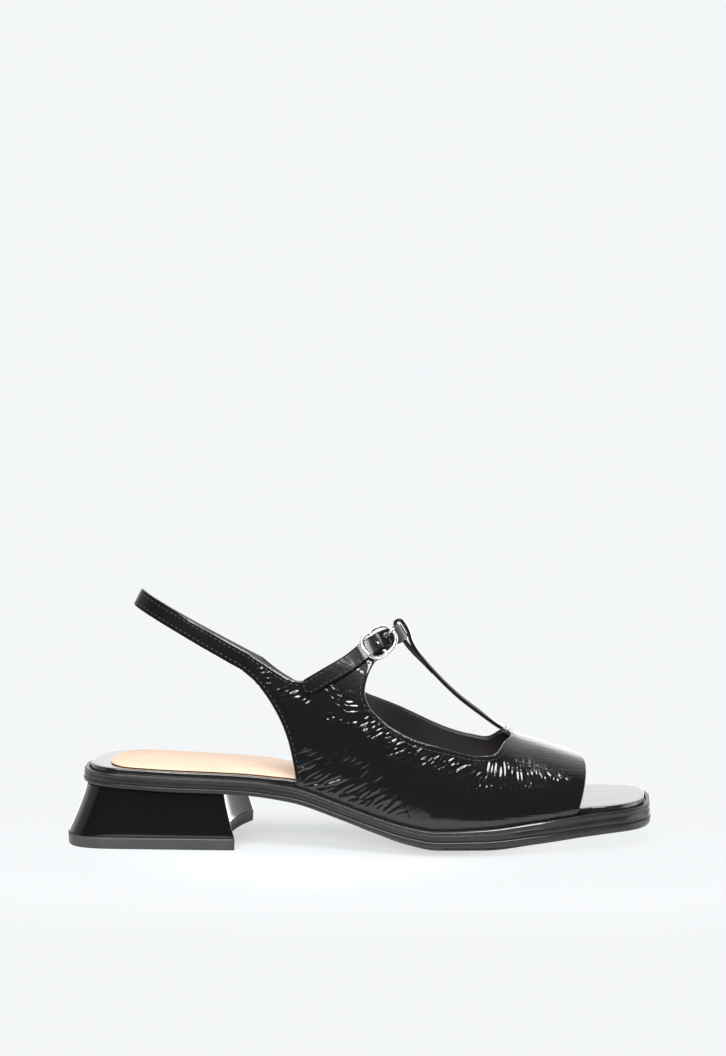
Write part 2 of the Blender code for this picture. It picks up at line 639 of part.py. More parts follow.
def strap_runs(side):
    """Runs along one half of the strap: even on the leg, closing up round the front of the instep."""
    leg, squareness = strap_bend(side)
    turn = np.radians(np.linspace(0, 90, 12)[1:])
    front = leg + (STRAP_REACH - leg) * np.sin(turn) ** (2 / squareness)
    return np.concatenate([np.linspace(0, leg, 9), front])


def make_strap(material):
    maker = bmesh.new()
    tip_length = STRAP_WIDTH / 2
    rows = []
    for side in (LATERAL_SIDE, MEDIAL_SIDE):
        runs = strap_runs(side)
        half_rows = []
        tip = [tip_length * (1 - math.cos(a)) for a in np.radians((12, 35, 60))]
        for run in np.concatenate([tip, runs[runs > tip_length * 0.9]]):
            short = max(0.0, 1 - run / tip_length)
            half = STRAP_WIDTH / 2 * math.sqrt(1 - short**2)
            half_rows.append(strap_row(run, side, np.linspace(-half, half, 5)))
        rows += half_rows if side == LATERAL_SIDE else half_rows[-2::-1]
    add_strip(maker, rows)
    bmesh.ops.recalc_face_normals(maker, faces=maker.faces)
    face_out_from_last(maker)
    obj = make_object("instep_strap", maker, material)
    thick = obj.modifiers.new("thickness", "SOLIDIFY")
    thick.thickness = STRAP_THICK * MM
    thick.offset = 1.0
    return obj


# Buckle: an oval frame with a bar across it under the strap, and a prong through the strap's hole
def buckle_frame_axes():
    """Middle of the buckle's bar, and its directions along the strap, across it and outwards."""
    row = strap_row(BUCKLE_AT, LATERAL_SIDE, [-1.0, 0.0, 1.0])
    behind, ahead = (strap_row(run, LATERAL_SIDE, [0.0])[0] for run in FRAME_SPAN)
    along = (ahead - behind) / np.linalg.norm(ahead - behind)
    across = row[2] - row[0]
    across -= along * (across @ along)
    across /= np.linalg.norm(across)
    outward = np.cross(across, along)
    outward *= -np.sign(outward[1])
    middle = row[1] - outward * (GAP + BAR_RADIUS)
    return middle, along, across, outward


def tube(name, points, radius, material, closed=False):
    curve = bpy.data.curves.new(name, "CURVE")
    curve.dimensions = "3D"
    curve.bevel_depth = radius * MM
    curve.bevel_resolution = 2
    curve.use_fill_caps = not closed
    spline = curve.splines.new("POLY")
    spline.points.add(len(points) - 1)
    for target, point in zip(spline.points, points):
        target.co = (*((Vector(point) - CENTRE) * MM), 1.0)
    spline.use_cyclic_u = closed
    curve.materials.append(material)
    obj = bpy.data.objects.new(name, curve)
    bpy.context.scene.collection.objects.link(obj)
    return obj


def as_mesh(obj):
    """The same object with its curve made a mesh."""
    graph = bpy.context.evaluated_depsgraph_get()
    mesh = bpy.data.meshes.new_from_object(obj.evaluated_get(graph))
    name, material = obj.name, obj.data.materials[0]
    bpy.data.objects.remove(obj)
    solid = bpy.data.objects.new(name, mesh)
    if not mesh.materials:
        mesh.materials.append(material)
    bpy.context.scene.collection.objects.link(solid)
    return solid


def boolean(obj, other, operation):
    other.hide_render = True
    other.display_type = "WIRE"
    change = obj.modifiers.new(operation.lower(), "BOOLEAN")
    change.operation = operation
    change.object = other


def make_buckle(material):
    middle, along, across, outward = buckle_frame_axes()
    ring = []
    for turn in np.radians(np.arange(0, 360, 10)):
        lengthwise, crosswise = (
            math.copysign(abs(part) ** (2 / FRAME_SQUARENESS), part) for part in (math.cos(turn), math.sin(turn))
        )
        ring.append(
            middle
            + along * FRAME_LONG * lengthwise
            + across * FRAME_WIDE * crosswise
            + outward * FRAME_BOW * abs(lengthwise)
        )
    frame = as_mesh(tube("buckle_frame", ring, FRAME_WIRE, material, closed=True))
    ends = [middle - across * FRAME_WIDE, middle + across * FRAME_WIDE]
    bar = as_mesh(tube("bar_cutter", ends, BAR_RADIUS, material))
    boolean(frame, bar, "UNION")
    return frame


def make_prong(material):
    middle, along, across, outward = buckle_frame_axes()
    hook = BAR_RADIUS + GAP + PRONG_RADIUS
    line = []
    for turn in np.radians(np.linspace(-165, -10, 8)):
        line.append(middle + hook * (along * math.cos(turn) + outward * math.sin(turn)))
    rest = FRAME_BOW + FRAME_WIRE + GAP + PRONG_RADIUS
    for run, rise in ((3.0, -0.2), (4.2, 0.6), (5.2, 2.0), (6.4, rest - 0.2), (FRAME_LONG + 0.8, rest)):
        line.append(middle + along * run + outward * rise)
    return tube("buckle_prong", line, PRONG_RADIUS, material)


def punch_strap(strap, material):
    """The prong's slot, and a spare hole further along the strap's free end."""
    middle, along, across, outward = buckle_frame_axes()
    for name, (start, end), radius in (
        ("prong_slot", PRONG_SLOT, PRONG_SLOT_RADIUS),
        ("spare_hole", SPARE_HOLE, SPARE_HOLE_RADIUS),
    ):
        maker = bmesh.new()
        outline = []
        for turn in np.radians(np.arange(0, 360, 30)):
            reach = end if math.cos(turn) > 0 else start
            outline.append(along * (reach + radius * math.cos(turn)) + across * radius * math.sin(turn))
        low = [maker.verts.new(middle + p - outward * 1.5) for p in outline]
        high = [maker.verts.new(middle + p + outward * 5.0) for p in outline]
        maker.faces.new(low)
        maker.faces.new(high)
        for i in range(len(low)):
            k = (i + 1) % len(low)
            maker.faces.new((low[i], low[k], high[k], high[i]))
        bmesh.ops.recalc_face_normals(maker, faces=maker.faces)
        boolean(strap, make_object(name, maker, material), "DIFFERENCE")


def main():
    for obj in list(bpy.data.objects):
        bpy.data.objects.remove(obj)
    rubber = make_material("sole_rubber", (0.03, 0.03, 0.03), 0.5)
    patent = make_material("black_patent", (0.006, 0.006, 0.007), 0.12, coat=1.0)
    lining = make_material("insole_cover", (0.012, 0.012, 0.012), 0.3)
    tan = make_material("tan_leather", (0.80, 0.52, 0.33), 0.55)
    steel = make_material("polished_metal", (0.86, 0.85, 0.83), 0.12, metallic=1.0)
    make_outsole(rubber)
    make_heel(patent)
    make_top_piece(rubber)
    make_insole(lining)
    make_sock(tan)
    make_upper(patent)
    strap = make_strap(patent)
    make_buckle(steel)
    make_prong(steel)
    punch_strap(strap, patent)


main()
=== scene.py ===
"""Looks of the right-foot slingback shoe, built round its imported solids.

Measures are in millimetres of the shoe's own frame: a station is the distance ahead of the back of
the sole, y runs to the medial side and z up from the floor. to_frame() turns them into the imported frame.
"""

import math
from collections import namedtuple

import bmesh
import bpy
import numpy as np
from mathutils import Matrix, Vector
from mathutils.geometry import delaunay_2d_cdt
from mathutils.kdtree import KDTree


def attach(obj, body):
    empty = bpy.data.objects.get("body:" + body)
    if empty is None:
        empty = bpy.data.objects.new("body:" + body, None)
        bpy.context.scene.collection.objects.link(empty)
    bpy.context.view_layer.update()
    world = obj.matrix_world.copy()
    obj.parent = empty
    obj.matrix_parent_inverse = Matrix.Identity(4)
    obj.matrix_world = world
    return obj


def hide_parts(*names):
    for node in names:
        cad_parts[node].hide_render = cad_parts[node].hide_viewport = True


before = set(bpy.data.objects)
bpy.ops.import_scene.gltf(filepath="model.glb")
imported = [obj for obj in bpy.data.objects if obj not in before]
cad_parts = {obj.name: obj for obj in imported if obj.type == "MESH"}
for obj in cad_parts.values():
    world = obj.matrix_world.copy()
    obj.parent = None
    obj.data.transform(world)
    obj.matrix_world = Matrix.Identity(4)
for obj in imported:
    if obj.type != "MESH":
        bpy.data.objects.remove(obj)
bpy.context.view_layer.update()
scene = bpy.context.scene
scene.view_settings.view_transform = "Standard"

# Studio: a level camera almost square to the shoe's lateral side, a pale floor that fades into the pale
# surround, a glow in the surround behind the shoe and past its ends, a long light overhead, and four
# panels on the camera's side that the patent mirrors.
STATION_ORIGIN, SIDE_ORIGIN = 124.743, 0.999
CAMERA_AIM, CAMERA_AWAY, CAMERA_TURN, CAMERA_HEIGHT = 125.3, 600.0, math.radians(3), 136.6
CAMERA_SENSOR, CAMERA_LENS = 36.0, 46.1
PALE = (0.904, 0.922, 0.939, 1.0)


def to_frame(points):
    """Shoe measures (station, y, z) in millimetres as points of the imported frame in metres."""
    return (np.asarray(points, float) - (STATION_ORIGIN, SIDE_ORIGIN, 0.0)) / 1000


def add_node(tree, kind, sockets=None, **settings):
    """A node with the given socket values and settings."""
    node = tree.nodes.new(kind)
    for name, value in settings.items():
        setattr(node, name, value)
    for name, value in (sockets or {}).items():
        node.inputs[name].default_value = value
    return node


def ranged(tree, value, low, high, to_low, to_high):
    """A value's range from low to high mapped smoothly to another range."""
    spread = add_node(tree, "ShaderNodeMapRange",
                      {"From Min": low, "From Max": high, "To Min": to_low, "To Max": to_high})
    spread.interpolation_type = "SMOOTHSTEP"
    tree.links.new(value, spread.inputs["Value"])
    return spread.outputs[0]


camera = bpy.data.objects.new("camera", bpy.data.cameras.new("camera"))
scene.collection.objects.link(camera)
camera.data.sensor_width = CAMERA_SENSOR
camera.data.lens = CAMERA_LENS
camera.location = to_frame((
    CAMERA_AIM + CAMERA_AWAY * math.sin(CAMERA_TURN), -CAMERA_AWAY * math.cos(CAMERA_TURN), CAMERA_HEIGHT))
camera.rotation_euler = (math.pi / 2, 0, CAMERA_TURN)
scene.camera = camera

# A glow of the surround grows along one axis, from where it starts to where it is full.
Glow = namedtuple("Glow", "axis start full least most")
GLOW_BEHIND = Glow("Y", -0.10, 0.55, 0.02, 0.8)
GLOW_LOW_BEHIND = Glow("Y", 0.80, 0.97, 0.0, 4.0)
BELOW_LEVEL = Glow("Z", 0.0, -0.08, 0.0, 1.0)
GLOW_FAR_BEHIND = Glow("Y", 0.80, 0.97, 0.0, 1.5)
GLOW_ABOVE = Glow("Z", 0.80, 0.98, 0.0, 0.3)
GLOW_AHEAD = Glow("X", 0.80, 0.97, 0.0, 2.6)
GLOW_ASTERN = Glow("X", -0.86, -0.98, 0.0, 0.4)


def glow_strength(tree, parts, glow):
    """Strength of a glow by the parts of a direction."""
    return ranged(tree, parts.outputs[glow.axis], glow.start, glow.full, glow.least, glow.most)


surround = bpy.data.worlds.new("surround")
surround.use_nodes = True
scene.world = surround
tree = surround.node_tree
tree.nodes.clear()
direction = add_node(tree, "ShaderNodeTexCoord")
parts = add_node(tree, "ShaderNodeSeparateXYZ")
tree.links.new(direction.outputs["Generated"], parts.inputs[0])
low_behind = add_node(tree, "ShaderNodeMath", operation="MULTIPLY")
tree.links.new(glow_strength(tree, parts, GLOW_LOW_BEHIND), low_behind.inputs[0])
tree.links.new(glow_strength(tree, parts, BELOW_LEVEL), low_behind.inputs[1])
strengths = [low_behind.outputs[0]]
for glow in (GLOW_FAR_BEHIND, GLOW_ABOVE, GLOW_AHEAD, GLOW_ASTERN):
    strengths.append(glow_strength(tree, parts, glow))
brightness = glow_strength(tree, parts, GLOW_BEHIND)
for strength in strengths:
    brighter = add_node(tree, "ShaderNodeMath", operation="MAXIMUM")
    tree.links.new(brightness, brighter.inputs[0])
    tree.links.new(strength, brighter.inputs[1])
    brightness = brighter.outputs[0]
soft_light = add_node(tree, "ShaderNodeBackground", {"Color": PALE})
tree.links.new(brightness, soft_light.inputs["Strength"])
pale_back = add_node(tree, "ShaderNodeBackground", {"Color": PALE})
path = add_node(tree, "ShaderNodeLightPath")
either = add_node(tree, "ShaderNodeMixShader")
tree.links.new(path.outputs["Is Camera Ray"], either.inputs[0])
tree.links.new(soft_light.outputs[0], either.inputs[1])
tree.links.new(pale_back.outputs[0], either.inputs[2])
surround_output = add_node(tree, "ShaderNodeOutputWorld")
tree.links.new(either.outputs[0], surround_output.inputs[0])

StudioLight = namedtuple("StudioLight", "name station y z width depth watts")
STUDIO_LIGHTS = (
    StudioLight("light_over_camera", 264.0, -520.0, 738.0, 459.0, 302.0, 8.5),
    StudioLight("light_on_window", -66.0, -722.0, 464.0, 182.0, 256.0, 2.7),
    StudioLight("light_beside_camera", -247.0, -706.0, 416.0, 392.0, 224.0, 5.0),
    StudioLight("light_behind_camera", 193.0, -810.0, 405.0, 163.0, 104.0, 1.0),
    StudioLight("light_above", 125.0, 60.0, 1000.0, 1100.0, 180.0, 2.4),
)
LIGHTS_AIM = (CAMERA_AIM, 0.0, 40.0)
for row in STUDIO_LIGHTS:
    lamp = bpy.data.lights.new(row.name, "AREA")
    lamp.shape = "RECTANGLE"
    lamp.size, lamp.size_y = row.width / 1000, row.depth / 1000
    lamp.energy = row.watts
    light = bpy.data.objects.new(row.name, lamp)
    scene.collection.objects.link(light)
    light.location = to_frame((row.station, row.y, row.z))
    aim = Vector(to_frame(LIGHTS_AIM)) - light.location
    light.rotation_euler = aim.to_track_quat("-Z", "Y").to_euler()
    light.visible_camera = False

FLOOR_LENGTH, FLOOR_DEPTH, FLOOR_PLAIN, FLOOR_AHEAD = 0.36, 0.11, 0.50, 0.05
SHADE_AT, SHADE_REACH, SHADE_PART, SHADE_LEAST = -0.02, 0.11, 0.34, 0.07
FLOOR_SIDES, FLOOR_PAPER = 96, (0.66, 0.675, 0.69, 1.0)
bpy.ops.object.select_all(action="DESELECT")
bpy.ops.mesh.primitive_circle_add(vertices=FLOOR_SIDES, radius=FLOOR_LENGTH, fill_type="NGON")
floor = bpy.context.object
floor.name = "floor"
pale_floor = bpy.data.materials.new("pale_floor")
pale_floor.use_nodes = True
tree = pale_floor.node_tree
tree.nodes.clear()
place = add_node(tree, "ShaderNodeTexCoord")
oval = add_node(tree, "ShaderNodeMapping", {"Location": (0.0, FLOOR_AHEAD / FLOOR_DEPTH, 0.0),
                                            "Scale": (1 / FLOOR_LENGTH, 1 / FLOOR_DEPTH, 1.0)})
tree.links.new(place.outputs["Object"], oval.inputs["Vector"])
out = add_node(tree, "ShaderNodeVectorMath", operation="LENGTH")
tree.links.new(oval.outputs[0], out.inputs[0])
paper = add_node(tree, "ShaderNodeBsdfDiffuse", {"Color": FLOOR_PAPER})
lit_paper = add_node(tree, "ShaderNodeEmission", {"Color": PALE})
under_arch = add_node(tree, "ShaderNodeVectorMath", {1: (SHADE_AT, 0.0, 0.0)}, operation="DISTANCE")
tree.links.new(place.outputs["Object"], under_arch.inputs[0])
shade = ranged(tree, under_arch.outputs["Value"], 0.5 * SHADE_REACH, SHADE_REACH, SHADE_PART, SHADE_LEAST)
seen = add_node(tree, "ShaderNodeLightPath")
bright_part = add_node(tree, "ShaderNodeMath", {0: 1.0}, operation="SUBTRACT")
tree.links.new(shade, bright_part.inputs[1])
seen_part = add_node(tree, "ShaderNodeMath", operation="MULTIPLY")
tree.links.new(bright_part.outputs[0], seen_part.inputs[0])
tree.links.new(seen.outputs["Is Camera Ray"], seen_part.inputs[1])
sheet = add_node(tree, "ShaderNodeMixShader")
tree.links.new(seen_part.outputs[0], sheet.inputs[0])
tree.links.new(paper.outputs[0], sheet.inputs[1])
tree.links.new(lit_paper.outputs[0], sheet.inputs[2])
clear = add_node(tree, "ShaderNodeBsdfTransparent")
blend = add_node(tree, "ShaderNodeMixShader")
tree.links.new(ranged(tree, out.outputs["Value"], FLOOR_PLAIN, 1.0, 0.0, 1.0), blend.inputs[0])
tree.links.new(sheet.outputs[0], blend.inputs[1])
tree.links.new(clear.outputs[0], blend.inputs[2])
floor_output = add_node(tree, "ShaderNodeOutputMaterial")
tree.links.new(blend.outputs[0], floor_output.inputs[0])
floor.data.materials.append(pale_floor)

# Outsole: one moulded black rubber unit with a rolled tread, an arched waist and a little toe spring.
# Its side has a groove low down and a fine line higher up, and its rim stands round a tray for the insole.
GAP = 0.3
SOLE_LENGTH, SOLE_BACK = 252.0, 1.8
HEEL_ROUND, HEEL_SQUARENESS = 27.0, 2.7
TOE_ROUND, TOE_SQUARENESS = 15.0, 3.0
TOE_SLANT, TOE_SLANT_START = 0.17, 196.0
TRAY_DEPTH, RIM_WIDTH = 1.5, 2.5
TREAD_BORDER, TREAD_SPINE_END, TREAD_ROLL, TRAY_DRAFT = 0.40, 244.5, 1.6, 0.2
TREAD_SHARES = (TREAD_BORDER, 0.30, 0.20, 0.12)
ROUND_POINTS, SIDE_POINTS, AT_MIDDLE = 30, 112, 1e-9
SMOOTH_ANGLE = math.radians(50)
LATERAL, MEDIAL = -1, 1

SoleRow = namedtuple("SoleRow", "station lateral medial tread edge rim")
SOLE_ROWS = (
    SoleRow(0.0, 27.0, 27.0, 26.5, 26.5, 32.2),
    SoleRow(20.0, 30.0, 30.0, 25.7, 25.7, 31.6),
    SoleRow(45.0, 31.0, 30.4, 24.3, 24.3, 30.5),
    SoleRow(74.0, 31.0, 27.6, 23.2, 23.4, 29.4),
    SoleRow(96.0, 31.9, 24.8, 19.5, 20.7, 27.3),
    SoleRow(118.0, 34.2, 26.8, 12.4, 14.1, 20.6),
    SoleRow(132.0, 36.4, 31.0, 6.9, 9.6, 16.0),
    SoleRow(146.0, 38.6, 36.4, 2.2, 5.8, 12.4),
    SoleRow(158.0, 39.6, 39.8, 0.0, 4.2, 10.8),
    SoleRow(178.0, 38.6, 41.6, 0.0, 4.2, 11.6),
    SoleRow(200.0, 34.8, 39.2, 2.6, 5.6, 14.0),
    SoleRow(222.0, 29.0, 34.4, 5.6, 7.2, 16.2),
    SoleRow(240.0, 23.0, 29.0, 7.0, 8.3, 17.2),
    SoleRow(252.0, 18.6, 25.0, 7.6, 8.8, 17.6),
)
# From the foot of the wall up: inset from the outline, share of the wall's height.
SoleWall = namedtuple("SoleWall", "inset share")
SOLE_WALL = (
    SoleWall(1.5, 0.0), SoleWall(0.85, 0.012), SoleWall(0.45, 0.045), SoleWall(0.22, 0.09),
    SoleWall(0.12, 0.18), SoleWall(0.10, 0.285), SoleWall(0.16, 0.305), SoleWall(0.52, 0.36),
    SoleWall(0.74, 0.366), SoleWall(0.82, 0.38), SoleWall(0.72, 0.394), SoleWall(0.46, 0.40),
    SoleWall(0.38, 0.415), SoleWall(0.36, 0.50), SoleWall(0.36, 0.705), SoleWall(0.50, 0.72),
    SoleWall(0.55, 0.735), SoleWall(0.50, 0.75), SoleWall(0.36, 0.77), SoleWall(0.36, 0.90),
    SoleWall(0.37, 0.925), SoleWall(0.41, 0.935), SoleWall(0.82, 0.993), SoleWall(0.88, 1.0),
    SoleWall(2.25, 1.0), SoleWall(2.5, 0.98),
)
RIM_EDGE = SoleWall(0.41, 0.935)


def pchip(xs, ys, at):
    """Smooth curve through the points that never overshoots them."""
    xs, ys, at = (np.asarray(v, float) for v in (xs, ys, at))
    step = np.diff(xs)
    rise = np.diff(ys) / step
    slope = np.zeros_like(ys)
    slope[0], slope[-1] = rise[0], rise[-1]
    same_way = rise[:-1] * rise[1:] > 0
    before, after = rise[:-1][same_way], rise[1:][same_way]
    near, far = step[:-1][same_way], step[1:][same_way]
    weight_a, weight_b = 2 * far + near, far + 2 * near
    slope[1:-1][same_way] = (weight_a + weight_b) / (weight_a / before + weight_b / after)
    i = np.clip(np.searchsorted(xs, at) - 1, 0, len(step) - 1)
    t = (at - xs[i]) / step[i]
    return (ys[i] * (1 + 2 * t) * (1 - t) ** 2 + ys[i + 1] * t**2 * (3 - 2 * t)
            + step[i] * t * (1 - t) * (slope[i] * (1 - t) - slope[i + 1] * t))


def column(rows, name, at):
    """A column of a table of stations, at stations between its rows."""
    return pchip([r.station for r in rows], [getattr(r, name) for r in rows], at)


def smoothstep(low, high, value):
    """0 up to the low value, 1 from the high one, and a smooth rise between."""
    t = np.clip((np.asarray(value, float) - low) / (high - low), 0, 1)
    return t * t * (3 - 2 * t)


def half_outline(side):
    """Plan points of one side of the sole, from the middle of the heel to the middle of the toe."""
    quarter = np.radians(np.linspace(0, 90, ROUND_POINTS))
    heel_power, toe_power = 2 / HEEL_SQUARENESS, 2 / TOE_SQUARENESS
    toe_start = SOLE_LENGTH - TOE_ROUND
    middle = np.linspace(HEEL_ROUND, toe_start, SIDE_POINTS)[1:-1]
    heel = SOLE_BACK + (HEEL_ROUND - SOLE_BACK) * (1 - np.cos(quarter) ** heel_power)
    toe = toe_start + TOE_ROUND * np.sin(quarter) ** toe_power
    station = np.concatenate([heel, middle, toe])
    narrowing = np.concatenate(
        [np.sin(quarter) ** heel_power, np.ones(len(middle)), np.cos(quarter) ** toe_power])
    breadth = column(SOLE_ROWS, "lateral" if side == LATERAL else "medial", station)
    y = side * breadth * np.where(narrowing < AT_MIDDLE, 0, narrowing)
    slant = TOE_SLANT * y * smoothstep(TOE_SLANT_START, SOLE_LENGTH, station)
    return np.stack([station + slant, y], axis=1)


half_outlines = {side: half_outline(side) for side in (LATERAL, MEDIAL)}
sole_outline = np.concatenate([half_outlines[LATERAL], half_outlines[MEDIAL][-2:0:-1]])


def half_breadth(station, side):
    """Breadth of the sole at a station, from its middle line to one side."""
    line = half_outlines[side]
    return np.interp(station, line[:, 0], side * line[:, 1])


def inset_plan(plan, inset):
    """A closed plan curve moved inwards by an inset, one value or one for each point."""
    along = np.roll(plan, -1, axis=0) - np.roll(plan, 1, axis=0)
    along /= np.linalg.norm(along, axis=1, keepdims=True)
    inward = np.stack([along[:, 1], -along[:, 0]], axis=1)
    following = np.roll(plan, -1, axis=0)
    area = np.sum(plan[:, 0] * following[:, 1] - following[:, 0] * plan[:, 1])
    return plan + inward * -np.sign(area) * np.broadcast_to(inset, len(plan))[:, None]


def raised(plan, height):
    """A plan at a height, one value or one for each point."""
    return np.column_stack([plan, np.broadcast_to(height, len(plan))])


def edit_whole(operator, **settings):
    """Runs an operator on all of the active piece, in edit mode."""
    bpy.ops.object.mode_set(mode="EDIT")
    bpy.ops.mesh.select_all(action="SELECT")
    operator(**settings)
    bpy.ops.object.mode_set(mode="OBJECT")


def draw_up(name, rings, hollow=False):
    """A ring extruded through further rings of as many points, each end closed by strips across it, or
    by one flat face where the ring is hollow on a side."""
    count = len(rings[0])
    bpy.ops.object.select_all(action="DESELECT")
    bpy.ops.mesh.primitive_circle_add(vertices=count)
    piece = bpy.context.object
    piece.name = piece.data.name = name
    bpy.ops.object.mode_set(mode="EDIT")
    for _ in rings[1:]:
        bpy.ops.mesh.extrude_edges_move()
    bpy.ops.object.mode_set(mode="OBJECT")
    piece.data.vertices.foreach_set("co", to_frame(np.concatenate(rings)).ravel())
    # A strip joins each point to the one across from it, so that an end is as level across as its ring.
    closed = bmesh.new()
    closed.from_mesh(piece.data)
    closed.verts.ensure_lookup_table()
    for first in (0, count * (len(rings) - 1)):
        ring = closed.verts[first:first + count]
        if hollow:
            closed.faces.new(ring)
            continue
        for k in range(count // 2):
            closed.faces.new(dict.fromkeys((ring[k], ring[k + 1], ring[-k - 1], ring[-k])))
    closed.to_mesh(piece.data)
    closed.free()
    edit_whole(bpy.ops.mesh.normals_make_consistent, inside=False)
    bpy.ops.object.shade_smooth_by_angle(angle=SMOOTH_ANGLE)
    return piece


def new_finish(name, colour, roughness, coat=0.0, coat_roughness=0.03, metallic=0.0, specular=0.5):
    """A material with its shader's plain values set, and that shader."""
    material = bpy.data.materials.new(name)
    material.use_nodes = True
    shader = material.node_tree.nodes["Principled BSDF"]
    shader.inputs["Base Color"].default_value = (*colour, 1.0)
    shader.inputs["Roughness"].default_value = roughness
    shader.inputs["Metallic"].default_value = metallic
    shader.inputs["Specular IOR Level"].default_value = specular
    shader.inputs["Coat Weight"].default_value = coat
    shader.inputs["Coat Roughness"].default_value = coat_roughness
    return material, shader


def noise_on(tree, source, scale, detail=3.0, stretch=(1.0, 1.0, 1.0), turn=0.0, distortion=0.0):
    """Noise on a coordinate socket, turned about z and stretched by factors along its axes."""
    lengths = tuple(1 / factor for factor in stretch)
    spread = add_node(tree, "ShaderNodeMapping", {"Rotation": (0.0, 0.0, turn), "Scale": lengths},
                      vector_type="TEXTURE")
    tree.links.new(source, spread.inputs["Vector"])
    noise = add_node(tree, "ShaderNodeTexNoise", {"Scale": scale, "Detail": detail, "Distortion": distortion})
    tree.links.new(spread.outputs[0], noise.inputs["Vector"])
    return noise.outputs["Fac"]


def add_bump(tree, shader, height, distance, strength=1.0, under=None):
    """Relief of a height socket in metres on a shader, over an earlier relief if there is one."""
    bump = add_node(tree, "ShaderNodeBump", {"Distance": distance, "Strength": strength})
    tree.links.new(height, bump.inputs["Height"])
    if under is not None:
        tree.links.new(under.outputs[0], bump.inputs["Normal"])
    tree.links.new(bump.outputs[0], shader.inputs["Normal"])
    return bump


def tint_between(tree, shader, factor, first, second):
    """Base colour going from one tint to another with a factor socket."""
    mix = add_node(tree, "ShaderNodeMix", data_type="RGBA")
    mix.inputs["A"].default_value = (*first, 1.0)
    mix.inputs["B"].default_value = (*second, 1.0)
    tree.links.new(factor, mix.inputs["Factor"])
    tree.links.new(mix.outputs["Result"], shader.inputs["Base Color"])


along_spine = np.clip(sole_outline[:, 0], HEEL_ROUND, TREAD_SPINE_END)
spine_y = (half_breadth(along_spine, MEDIAL) - half_breadth(along_spine, LATERAL)) / 2
to_spine = np.stack([along_spine, spine_y], axis=1) - sole_outline
sole_rings = []
for share_in in TREAD_SHARES:
    plan = sole_outline + to_spine * share_in
    roll = (1 - share_in / TREAD_BORDER) ** TREAD_ROLL
    tread, edge = (column(SOLE_ROWS, name, plan[:, 0]) for name in ("tread", "edge"))
    sole_rings.append(raised(plan, tread + (edge - tread) * roll))
for inset, share in SOLE_WALL:
    plan = inset_plan(sole_outline, inset)
    edge, rim = (column(SOLE_ROWS, name, plan[:, 0]) for name in ("edge", "rim"))
    sole_rings.append(raised(plan, edge + (rim - edge) * share))
tray_plan = inset_plan(sole_outline, RIM_WIDTH + TRAY_DRAFT)
sole_rings.append(raised(tray_plan, column(SOLE_ROWS, "rim", tray_plan[:, 0]) - TRAY_DEPTH))
outsole = draw_up("rubber_sole", sole_rings)

sole_rubber, shader = new_finish("satin_sole_rubber", (0.013, 0.013, 0.012), 0.35, 0.4, 0.14, specular=0.2)
tree = sole_rubber.node_tree
place = add_node(tree, "ShaderNodeTexCoord").outputs["Object"]
scuffs = noise_on(tree, place, 90.0, detail=6.0)
tree.links.new(ranged(tree, scuffs, 0.35, 0.7, 0.30, 0.40), shader.inputs["Roughness"])
tint_between(tree, shader, scuffs, (0.009, 0.009, 0.008), (0.018, 0.018, 0.016))
moulding = noise_on(tree, place, 900.0, detail=2.0, stretch=(0.25, 0.25, 1.0))
grain = noise_on(tree, place, 2600.0, detail=2.0)
add_bump(tree, shader, grain, 0.00006, under=add_bump(tree, shader, moulding, 0.00008))
buffed_rim, shader = new_finish("buffed_rim", (0.016, 0.016, 0.015), 0.2, coat=0.6, coat_roughness=0.12)
tree = buffed_rim.node_tree
place = add_node(tree, "ShaderNodeTexCoord").outputs["Object"]
rubbed = noise_on(tree, place, 300.0, detail=3.0)
tree.links.new(ranged(tree, rubbed, 0.3, 0.7, 0.16, 0.24), shader.inputs["Roughness"])
for material in (sole_rubber, buffed_rim):
    outsole.data.materials.append(material)
rim_edge = len(sole_rings) - len(SOLE_WALL) - 1 + SOLE_WALL.index(RIM_EDGE)
ring_of = np.arange(len(outsole.data.vertices)) // len(sole_outline)
for face in outsole.data.polygons:
    face.material_index = int({ring_of[i] for i in face.vertices} == {rim_edge, rim_edge + 1})
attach(outsole, "root")
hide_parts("outsole")

# Heel block: a low moulded block that flares to its foot, wrapped in smooth patent, with a squared round
# back and a hollow breast. It is fixed up under the sole's seat.
HEEL_BACK_TOP, HEEL_BACK_FOOT, BLOCK_SQUARENESS = 4.4, -3.2, 3.4
HEEL_BREAST_TOP, HEEL_BREAST_FOOT = 68.0, 72.6
HEEL_HALF_TOP, HEEL_HALF_FOOT = 28.4, 30.4
BREAST_HOLLOW, BREAST_FILLET = 6.5, 1.3
TOP_PIECE_HEIGHT = 5.0
HEEL_FLARE, HEEL_TURN_IN, HEEL_TURN_FROM, HEEL_TURN_SPAN = 1.25, 0.08, 0.96, 0.04
BACK_POINTS, FLANK_POINTS, FILLET_SHARES = 34, 22, (0.2, 0.4, 0.6, 0.8)
HEEL_LEVELS = (1.0, 0.99, 0.96, 0.88, 0.78, 0.66, 0.54, 0.42, 0.30, 0.18, 0.08, 0.0)


